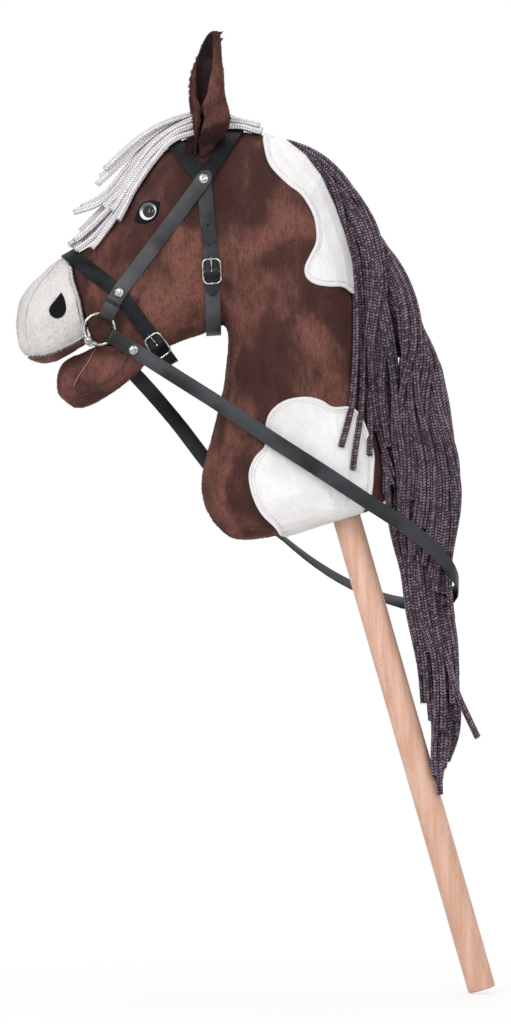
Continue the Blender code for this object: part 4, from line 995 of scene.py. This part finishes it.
# by how much, from what height on and within how much: the tip comes down and the lining's tip up; then
# from where on and within how much the worn outline holds, and above what height the lining covers the shell
earMoves = {"down": (2.7, 384, 98), "up": (12, 440, 27.5), "worn": (350, 22), "covers": 446}


def earColumn(x, scale):
    return picture["middle"] + (x - exitPoint.x + exitAside) * 1000 * scale


def earEdges(table, height, scale):
    return [np.interp(picture["row"] - height * scale, table[:, 0], table[:, c]) for c in (1, 2, 3, 4)]


def wornEar(piece, lining, hand, shellTree=None):
    # moves the ear from its cut to how it is worn; the heights are millimetres of the side view
    points = verticesOf(piece)
    for k, p in enumerate(points):
        v = (p[2] - exitPoint.z) * 1000
        down, up = (by * eased01((v - start) / reach)
                    for by, start, reach in (earMoves["down"], earMoves["up"]))
        newV = v - down + (up if lining else 0.0)
        x, still = earColumn(p[0], cutScale), earColumn(p[0], earScale)
        cut, worn = earEdges(earCut, v, cutScale), earEdges(earWorn, newV, earScale)
        moved = np.interp(x, cut, worn) + min(0.0, x - cut[0]) + max(0.0, x - cut[3])
        start, reach = earMoves["worn"]
        x = still + (moved - still) * eased01((v - start) / reach)
        points[k, 0] = exitPoint.x - exitAside + (x - picture["middle"]) / earScale / 1000
        points[k, 2] = exitPoint.z + newV / 1000
        if lining and newV > earMoves["covers"] and x < worn[2] - 0.3:
            front = beside(points[k, 0], points[k, 2], hand, shellTree)
            points[k, 1] = hand * max(hand * p[1], front + 0.0004)
    moveTo(piece, points)


for hand, side in hands:
    shell = remade("ear_" + side, "ear_shell_" + side, brownPlush, "ear")
    wornEar(shell, False, hand)
    lining = remade("ear_lining_" + side, "ear_inside_" + side, darkLining, "lining")
    wornEar(lining, True, hand, treeOf(shell))
    remade("eye_" + side, "eye_dome_" + side, eyeGlaze, "eye")
    for word in ("crest", "shoulder"):
        piece = remade("%s_patch_%s" % (word, side), "%s_spot_%s" % (word, side), patchPlushPaintedLighter, "patch")
        points = verticesOf(piece)
        points[:, 1] += [hand * (raised(p) + 0.0003) for p in points]
        moveTo(piece, points)
print("patches, ears and eyes made")


# felt shapes laid on the plush, in millimetres of the side view

felts = {   # node, the plush under it, thickness, outline
    "nose_hole": ("nostril", "muzzle_plush", 0.0004, [
        (-283, 218.5), (-283, 218.5), (-288, 212), (-293.5, 205), (-295, 199.5), (-292, 194.5),
        (-286.5, 192.5), (-281, 195), (-278, 200.5), (-278.5, 208), (-280.5, 214.5)]),
    "eye_patch": ("eye_backing", "head_plush", 0.0006, [
        (-210.5, 288.5), (-210.5, 288.5), (-208, 298), (-204, 305.5), (-197, 309.5), (-190, 310),
        (-184, 308), (-184, 308), (-184.5, 301), (-187, 294), (-192, 288.5), (-199, 286), (-205.5, 286.5)]),
}
# share of the outline and lift; the last ring closes the felt underneath
feltRings = [(1.0, -0.4), (0.97, 0.6), (0.9, 1.0), (0.7, 1.05), (0.45, 1.1), (0.2, 1.1), (0.98, -1.2)]


def feltPiece(name, outline, hand, thick, tree):
    points = [np.array([u, v, 0.0]) for u, v in outline + outline[:1]]
    edge = resampled(spline(points, 8), 1.0)[:-1, :2]
    middle = edge.mean(axis=0)
    spots = [sidePoint(*p) for p in edge]
    depth = np.array([beside(p.x, p.z, hand, tree) for p in spots])
    plane = np.linalg.lstsq(np.c_[edge - middle, np.ones(len(edge))], depth, rcond=None)[0]
    rounding = float((depth - np.c_[edge - middle, np.ones(len(edge))] @ plane).mean())
    found, faces, count = [], [], len(edge)
    for share, lift in feltRings:
        for k, p in enumerate(edge):
            u, v = middle + (p - middle) * share
            flat = float(np.dot([u - middle[0], v - middle[1], 1], plane)) + rounding
            spot = sidePoint(u, v)
            laid = depth[k] * share ** 3 + flat * (1 - share ** 3)
            y = max(laid, beside(spot.x, spot.z, hand, tree) + raised(spot)) + thick * lift
            found.append(sidePoint(u, v, hand * y * 1000))
    last = len(feltRings) - 1
    rows = [last] + list(range(last))
    for a, b in zip(rows[:-1], rows[1:]):
        for k in range(count):
            n = (k + 1) % count
            faces.append([a * count + k, a * count + n, b * count + n, b * count + k])
    faces += [[row * count + k for k in range(count)] for row in (last - 1, last)]
    piece = addMesh(name, found, faces)
    inEditMode(piece, bpy.ops.mesh.normals_make_consistent, inside=False)
    smoothShade(piece, 50)
    return piece


for hand, side in hands:
    for word, (node, under, thick, outline) in felts.items():
        piece = feltPiece("%s_%s" % (word, side), outline, hand, thick, treeOf(under))
        dress(piece, blackFelt, ["%s_%s" % (node, side)])
print("felt laid")


# stitched edges and seams, in millimetres of the side view

trims = {"width": 0.0020, "line": 0.0003, "seam": 0.00055}
# outline, whether it is closed, and how far inside it the border and the line of stitches lie
patchEdges = {
    "crest": ([(-82, 378), (-78, 355), (-72, 342), (-56, 326), (-44, 317), (-34, 302), (-29, 288), (-28, 269),
               (-34, 255), (-39.5, 243), (-38, 233), (-29, 227), (-15, 225), (-2, 225), (8, 218)],
              False, 0.6, 4.2),
    "shoulder": ([(-79, 81), (-75, 97), (-61, 109), (-41, 113), (-25, 110), (-13, 103), (6, 103), (17, 90),
                  (27, 60), (27, 41), (24, 14), (10, -20), (-40, -40), (-61, -26), (-69, -15), (-83, -1),
                  (-92, 18), (-95, 38), (-89, 54), (-79, 65)],
                 True, -0.6, -4.4),
}
seams = [   # piece, finish, slot, line
    ("jaw_ridge", paleThread, "brown_plush", [(-248, 165), (-257, 148), (-266, 135), (-271, 125)]),
    # jaw_fold is a near-black tube along the crease of the jaw: painted shade of the crease
    ("jaw_fold", creaseShade, "brown_plush", [(-216, 156), (-222, 143), (-232, 133), (-246, 124), (-262, 116),
                                             (-274, 112)]),
    ("muzzle_seam", greyThread, "white_plush", [(-281, 255), (-293, 243), (-306, 227), (-316, 208),
                                                (-320, 190), (-318, 172)]),
]
# steps along a fringe, a hair's radius, how far its root is sunk along and into the plush, and its lift
fringePile = {"step": 0.0005, "radius": 0.0005, "along": 0.0025, "into": 0.0014, "lift": 0.0007}
fringes = [   # line, the way its pile points, length in millimetres
    ([(-259, 176), (-262, 174), (-278, 165), (-299, 157), (-316, 156)], (-0.25, -1.0), 4.2),
    ([(-273, 244), (-271, 231), (-265, 212), (-261, 192), (-258, 178)], (1.0, -0.5), 2.2),
]
skinTree = treeOf("neck_plush", "head_plush", "lower_jaw_plush", "upper_lip_plush", "muzzle_plush",
                  *patchNodes)


def laidOn(line, hand, lift, closed=False, inset=0.0, whole=True):
    # a smooth line of the side view laid on the plush, as one or more runs
    points = [np.array([u, v, 0.0]) for u, v in line]
    if closed:
        points = points + points[:1]
    smooth = resampled(spline(points, 8), 2.0)
    if inset:
        along = np.gradient(smooth, axis=0)
        normal = np.stack([along[:, 1], -along[:, 0]], 1)
        normal /= np.linalg.norm(normal, axis=1)[:, None]
        smooth[:, :2] -= normal * inset * (-1 if inwardTurn(smooth) else 1)
    runs, run = [], []
    for u, v, _ in smooth:
        reach = []
        for du, dv in ((0, 0), (1.2, 0), (-1.2, 0), (0, 1.2), (0, -1.2)):
            place = sidePoint(u + du, v + dv)
            reach.append(beside(place.x, place.z, hand, skinTree))
        if (min if whole else max)(reach) > 0.006:
            place, far = sidePoint(u, v), max(reach)
            height = far + lift + raised((place.x, hand * far, place.z))
            run.append(sidePoint(u, v, hand * height * 1000))
        elif run:
            runs.append(run)
            run = []
    if run:
        runs.append(run)
    return [eased(r, 3) for r in runs if len(r) > 4]


def inwardTurn(smooth):
    # whether the outline runs anticlockwise in the side view
    x, z = smooth[:, 0], smooth[:, 1]
    return float(np.sum(x[:-1] * z[1:] - x[1:] * z[:-1])) > 0


def tubesOn(line, hand, lift, width, sides, closed=False, inset=0.0):
    batch = TubeBatch()
    for run in laidOn(line, hand, lift, closed, inset):
        batch.add(run, width, sides, ends=(0.6, 0.6))
    return batch


for hand, side in hands:
    for word, (line, closed, inset, lineInset) in patchEdges.items():
        edge = tubesOn(line, hand, -0.0005, trims["width"], 12, closed, inset)
        inner = tubesOn(line, hand, 0.0002, trims["line"], 6, closed, lineInset)
        dress(edge.finished("%s_trim_%s" % (word, side)), whiteTrim)
        dress(inner.finished("%s_stitching_%s" % (word, side)), greyThread)
    for word, finish, slot, line in seams:
        batch = tubesOn(line, hand, -0.0001, trims["seam"], 6)
        dress(batch.finished("%s_%s" % (word, side)), finish)
    fringe, chance = TubeBatch(), random.Random(11)
    for line, way, length in fringes:
        for run in laidOn(line, hand, 0.0002, whole=False):
            for k, p in enumerate(resampled(run, fringePile["step"])):
                tooth = abs(math.sin(k * 0.33 + 1.4 * math.sin(k * 0.071)))
                reach = length * chance.uniform(0.7, 1.0) * (0.25 + 0.75 * tooth)
                aside = chance.uniform(-0.35, 0.35)
                x = p[0] + (way[0] + aside) * reach / 1000
                z = p[2] + (way[1] + aside * 0.3) * reach / 1000
                y = hand * (max(beside(x, z, hand, skinTree), hand * p[1] - 0.002) + fringePile["lift"])
                root = p - np.array((way[0] * fringePile["along"], hand * fringePile["into"],
                                     way[1] * fringePile["along"]))
                fringe.hair(root, (x, y, z), fringePile["radius"])
    dress(fringe.finished("muzzle_pile_" + side), whitePlush)
print("edges stitched")


# pile

pile = {"length": 0.0021, "radius": 0.00036, "lift": 0.42, "clear": 0.0035, "way": (-0.35, 0, -1),
        "unruly": 0.22, "shares": (0.6, 1.15), "sunk": 0.0003}
piled = [   # piece, tufts, share of the length
    ("head_and_neck", 36000, 1.0), ("upper_lip", 2600, 1.0), ("lower_jaw", 3400, 1.0),
    ("ear_shell_left", 4200, 1.0), ("ear_shell_right", 4200, 1.0), ("muzzle", 9000, 0.8),
    ("crest_spot_left", 3600, 0.7), ("crest_spot_right", 3600, 0.7),
    ("shoulder_spot_left", 5200, 0.7), ("shoulder_spot_right", 5200, 0.7),
]


def pileOn(piece, count, length, cover, seed):
    # short tufts brushed down and forward, none under a strap, a cord or a patch
    mesh = piece.data
    mesh.calc_loop_triangles()
    corners = verticesOf(piece)[np.array([t.vertices[:] for t in mesh.loop_triangles])]
    facing = np.cross(corners[:, 1] - corners[:, 0], corners[:, 2] - corners[:, 0])
    area = np.linalg.norm(facing, axis=1)
    chance = np.random.default_rng(seed)
    pick = chance.choice(len(area), count, p=area / area.sum())
    a, b = chance.random((2, count, 1))
    a, b = np.where(a + b > 1, 1 - a, a), np.where(a + b > 1, 1 - b, b)
    roots = corners[pick, 0] * (1 - a - b) + corners[pick, 1] * a + corners[pick, 2] * b
    normals = facing[pick] / area[pick][:, None]
    free = [cover.ray_cast(Vector(p) + Vector(n) * 0.0001, Vector(n), pile["clear"])[0] is None
            for p, n in zip(roots, normals)]
    roots, normals = roots[free], normals[free]
    way = np.array(pile["way"]) + chance.normal(0, pile["unruly"], roots.shape)
    way -= normals * (way * normals).sum(1)[:, None]
    way /= np.linalg.norm(way, axis=1)[:, None] + 1e-9
    across = np.cross(way, normals)
    reach = length * chance.uniform(*pile["shares"], (len(roots), 1))
    wide, sunk = pile["radius"], roots - normals * pile["sunk"]
    points = np.stack([sunk + across * wide, sunk - across * wide, roots + normals * wide * 0.8,
                       roots + (way * (1 - pile["lift"]) + normals * pile["lift"]) * reach], 1).reshape(-1, 3)
    first = np.arange(len(roots))[:, None] * 4
    faces = np.stack([first + row for row in ((0, 2, 3), (2, 1, 3), (1, 0, 3), (0, 1, 2))], 1).reshape(-1, 3)
    made = addMesh(piece.name + "_pile", points, faces.tolist())
    inEditMode(made, bpy.ops.mesh.normals_make_consistent, inside=False)
    smoothShade(made)
    return made


def seenPoint(x, y, hand, tree, above=0.0):
    # a point on the ear or head under a pixel of the camera's picture
    place = sidePoint((x - picture["middle"]) / earScale - exitAside * 1000, (picture["row"] - y) / earScale)
    found = beside(place.x, place.z, hand, tree)
    if found < 0.012:
        place.y = hand * 0.036
        return tree.find_nearest(place)[0]
    place.y = hand * (found + above)
    return place


# tufts along the front rim, in the crease, low on the front edge and round the base, with the rows and
# columns of pixels that they fill; then the nib's hairs, each with its root, its tip and its radius
earPile = {
    "rim": 420, "rimRows": (57, 128), "crease": 260, "creaseRows": (104, 141),
    "front": 170, "frontRows": (95, 111), "frontColumns": (189.5, 192),
    "base": 900, "baseFrom": (186, 148), "baseTo": (226, 130),
    "nib": [(215, 36, 224, 32.2, 0.0034), (216.5, 38, 222.8, 33.4, 0.0030)],
}


def earTufts(hand, side):
    chance = random.Random(17)
    batch = TubeBatch()
    tree = treeOf(bpy.data.objects["ear_shell_" + side], "head_plush", "browband", "crown_strap")
    for _ in range(earPile["rim"]):
        y = chance.uniform(*earPile["rimRows"])
        x = float(np.interp(y, earWorn[:, 0], earWorn[:, 1]))
        root = seenPoint(x + 1.2, y, hand, tree)
        reach = chance.uniform(0.5, 1.0) * (3.0 + 1.6 * math.sin(y * 0.9))
        way = Vector((-reach, hand * chance.uniform(-1, 1), -reach * chance.uniform(-0.3, 0.8)))
        batch.hair(root, root + way / 1000, 0.0005)
    for _ in range(earPile["crease"]):
        y = chance.uniform(*earPile["creaseRows"])
        x = float(np.interp(y, earWorn[:, 0], earWorn[:, 2])) + chance.uniform(-2.2, 2.2)
        root = seenPoint(x, y, hand, tree, 0.0002)
        way = Vector((chance.uniform(-0.6, 0.6), hand * 0.5, -1)).normalized()
        batch.hair(root, root + way * chance.uniform(0.002, 0.004), 0.0008)
    for x, y, tipX, tipY, size in earPile["nib"]:
        root = seenPoint(x, y, hand, tree, -0.001)
        batch.hair(root, root + Vector((tipX - x, 0, y - tipY)) / 1000, size)
    for _ in range(earPile["front"]):
        y = chance.uniform(*earPile["frontRows"])
        root = seenPoint(chance.uniform(*earPile["frontColumns"]), y, hand, tree, -0.004)
        batch.hair(root, root + Vector((-0.0016, 0, -chance.uniform(0.001, 0.004))), 0.0006)
    for _ in range(earPile["base"]):
        share = chance.random()
        x, y = (a + (b - a) * share for a, b in zip(earPile["baseFrom"], earPile["baseTo"]))
        x += chance.uniform(-3, 3)
        y += chance.uniform(-9, 7)
        root = seenPoint(x, y, hand, tree, -0.0002)
        way = Vector((chance.uniform(-0.9, 0.5), hand * chance.uniform(0.1, 0.7), chance.uniform(-0.9, 0.9)))
        batch.hair(root, root + way.normalized() * chance.uniform(0.002, 0.0045), 0.0006)
    dress(batch.finished("ear_tufts_" + side), brownPlush)


bald = ("black_leather", "nickel", "white_cord", "mane_cord", "eye_plastic", "black_felt", "dark_lining",
        "stick")
covering = [n for n in nodes if slotOf[n] in bald]
bareCover, fullCover = treeOf(*covering), treeOf(*covering, *patchNodes)
for k, (name, count, share) in enumerate(piled):
    piece = bpy.data.objects[name]
    finish = piece.data.materials[0]
    made = pileOn(piece, count, pile["length"] * share, bareCover if "_spot_" in name else fullCover, k)
    dress(made, finish)
for hand, side in hands:
    earTufts(hand, side)
print("pile brushed")


# straps, metal and stick

straps = {"edge": 0.00045, "limit": 50}
# the far half of the rein turns on its way to the stick: middle line in millimetres and turn in degrees
reinTurn = [(113, -75, 0, 0), (103, -87, 26, 0), (72, -93, 37, 35), (39, -86, 44, 60), (4, -72, 53, 64),
            (-29, -52, 61, 72), (-62, -26, 67, 80), (-95, 4, 71, 40), (-133, 44, 71, 0), (-167, 88, 64, 0)]


def turnRein(piece):
    perSpan = 12
    line = np.array(spline([sidePoint(u, v, y) for u, v, y, _ in reinTurn], perSpan), float)
    turns = np.interp(np.arange(len(line)) / perSpan, range(len(reinTurn)), [row[3] for row in reinTurn])
    along = np.gradient(line, axis=0)
    points = verticesOf(piece)
    for k, p in enumerate(points):
        gaps = np.linalg.norm(line - p, axis=1)
        near = int(gaps.argmin())
        if gaps[near] < 0.012 and turns[near]:
            axis = Vector(along[near]).normalized()
            offset = Vector(p - line[near])
            flat = offset - axis * offset.dot(axis)
            points[k] = p + np.array(Quaternion(axis, math.radians(turns[near])) @ flat - flat)
    moveTo(piece, points)


for node, slot in slotOf.items():
    if slot != "black_leather":
        continue
    piece = copyOf([node], node + "_leather")
    finishWith(piece, "BEVEL", width=straps["edge"], segments=2, limit_method="ANGLE",
               angle_limit=math.radians(straps["limit"]))
    if node == "rein":
        turnRein(piece)
    smoothShade(piece, 35)
    dress(piece, leathers.get(node, blackLeather), [node], bodyOf[node])

for node, slot in slotOf.items():
    if slot == "nickel":
        remade(node, node + "_metal", nickel, "metal")

for hand, side in hands:
    node = nodes["eye_washer_" + side]
    node.data.materials.clear()
    node.data.materials.append(blackFelt)


stick = {"radius": 0.014, "sides": 72, "edge": 0.002}


def beechStick():
    axis = Vector((-math.sin(stickLean), 0, math.cos(stickLean)))
    reach = [v.co.dot(axis) for v in nodes["stick"].data.vertices]
    low, high = min(reach), max(reach)
    bpy.ops.object.select_all(action="DESELECT")
    bpy.ops.mesh.primitive_cylinder_add(vertices=stick["sides"], radius=stick["radius"], depth=high - low,
                                        location=axis * (low + high) / 2, rotation=(0, -stickLean, 0))
    piece = bpy.context.active_object
    piece.name = "beech_stick"
    bpy.ops.object.transform_apply(location=True, rotation=True, scale=True)
    finishWith(piece, "BEVEL", width=stick["edge"], segments=4, limit_method="ANGLE",
               angle_limit=math.radians(60))
    smoothShade(piece, 30)
    dress(piece, beech, ["stick"])


beechStick()
print("straps, metal and stick made")


# floor, backdrop and light

# the floor's size and middle, how far it lies under the foot, how white it is shown close by, and between
# which distances it turns white; then the strength of the world's light
studio = {"size": 12, "middle": -0.15, "below": 0.0005, "white": 0.74, "whitens": (0.12, 0.6), "weak": 0.55}


def stageFloor():
    # lit as a floor is, but shown nearly white close by and white further off
    bpy.ops.object.select_all(action="DESELECT")
    bpy.ops.mesh.primitive_plane_add(size=studio["size"],
                                     location=(studio["middle"], 0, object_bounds()[0].z - studio["below"]))
    floor = bpy.context.active_object
    floor.name = "floor"
    made = Finish("floor", {"Base Color": "#efeeec", "Roughness": 0.8})
    glow = made.make("ShaderNodeEmission", {}, {"Color": (1, 1, 1, 1), "Strength": 1.0})
    white = studio["white"] + made.at("Object").length().step(*studio["whitens"]) * (1 - studio["white"])
    made.show(made.seen() * white, Wire(made, made.shader.outputs[0]), glow, "Material Output")
    floor.data.materials.append(made.material)


def worldLight():
    # a weak even light that is shown as white
    world = bpy.data.worlds.new("studio")
    bpy.context.scene.world = world
    world.use_nodes = True
    made = Nodes(world.node_tree)
    weak = made.tree.nodes["Background"]
    weak.inputs["Color"].default_value = (1, 1, 1, 1)
    weak.inputs["Strength"].default_value = studio["weak"]
    white = made.make("ShaderNodeBackground", {}, {"Color": (1, 1, 1, 1), "Strength": 1.0})
    made.show(made.seen(), Wire(made, weak.outputs[0]), white, "World Output")


lamps = {   # place, size, power in watts
    "key": ((-1.6, -2.2, 1.9), (0.9, 0.9), 27),
    "fill": ((1.5, -2.1, 1.6), (0.9, 0.9), 10),
    "top": ((-0.1, 0.6, 2.6), (1.6, 1.2), 22),
    "leftCatch": ((-1.0, -2.6, 1.35), (0.3, 0.3), 9),
    "rightCatch": ((0.1, -2.6, 1.75), (0.3, 0.3), 9),
}
lampAim = Vector((-0.2, 0, 0.5))


def softBox(name, place, size, power):
    data = bpy.data.lights.new(name, "AREA")
    data.shape = "RECTANGLE"
    data.size, data.size_y = size
    data.energy = power
    lamp = bpy.data.objects.new(name, data)
    bpy.context.scene.collection.objects.link(lamp)
    lamp.location = place
    lamp.rotation_euler = (lampAim - Vector(place)).to_track_quat("-Z", "Y").to_euler()


stageFloor()
worldLight()
for name, (place, size, power) in lamps.items():
    softBox(name, place, size, power)
print("stage set")
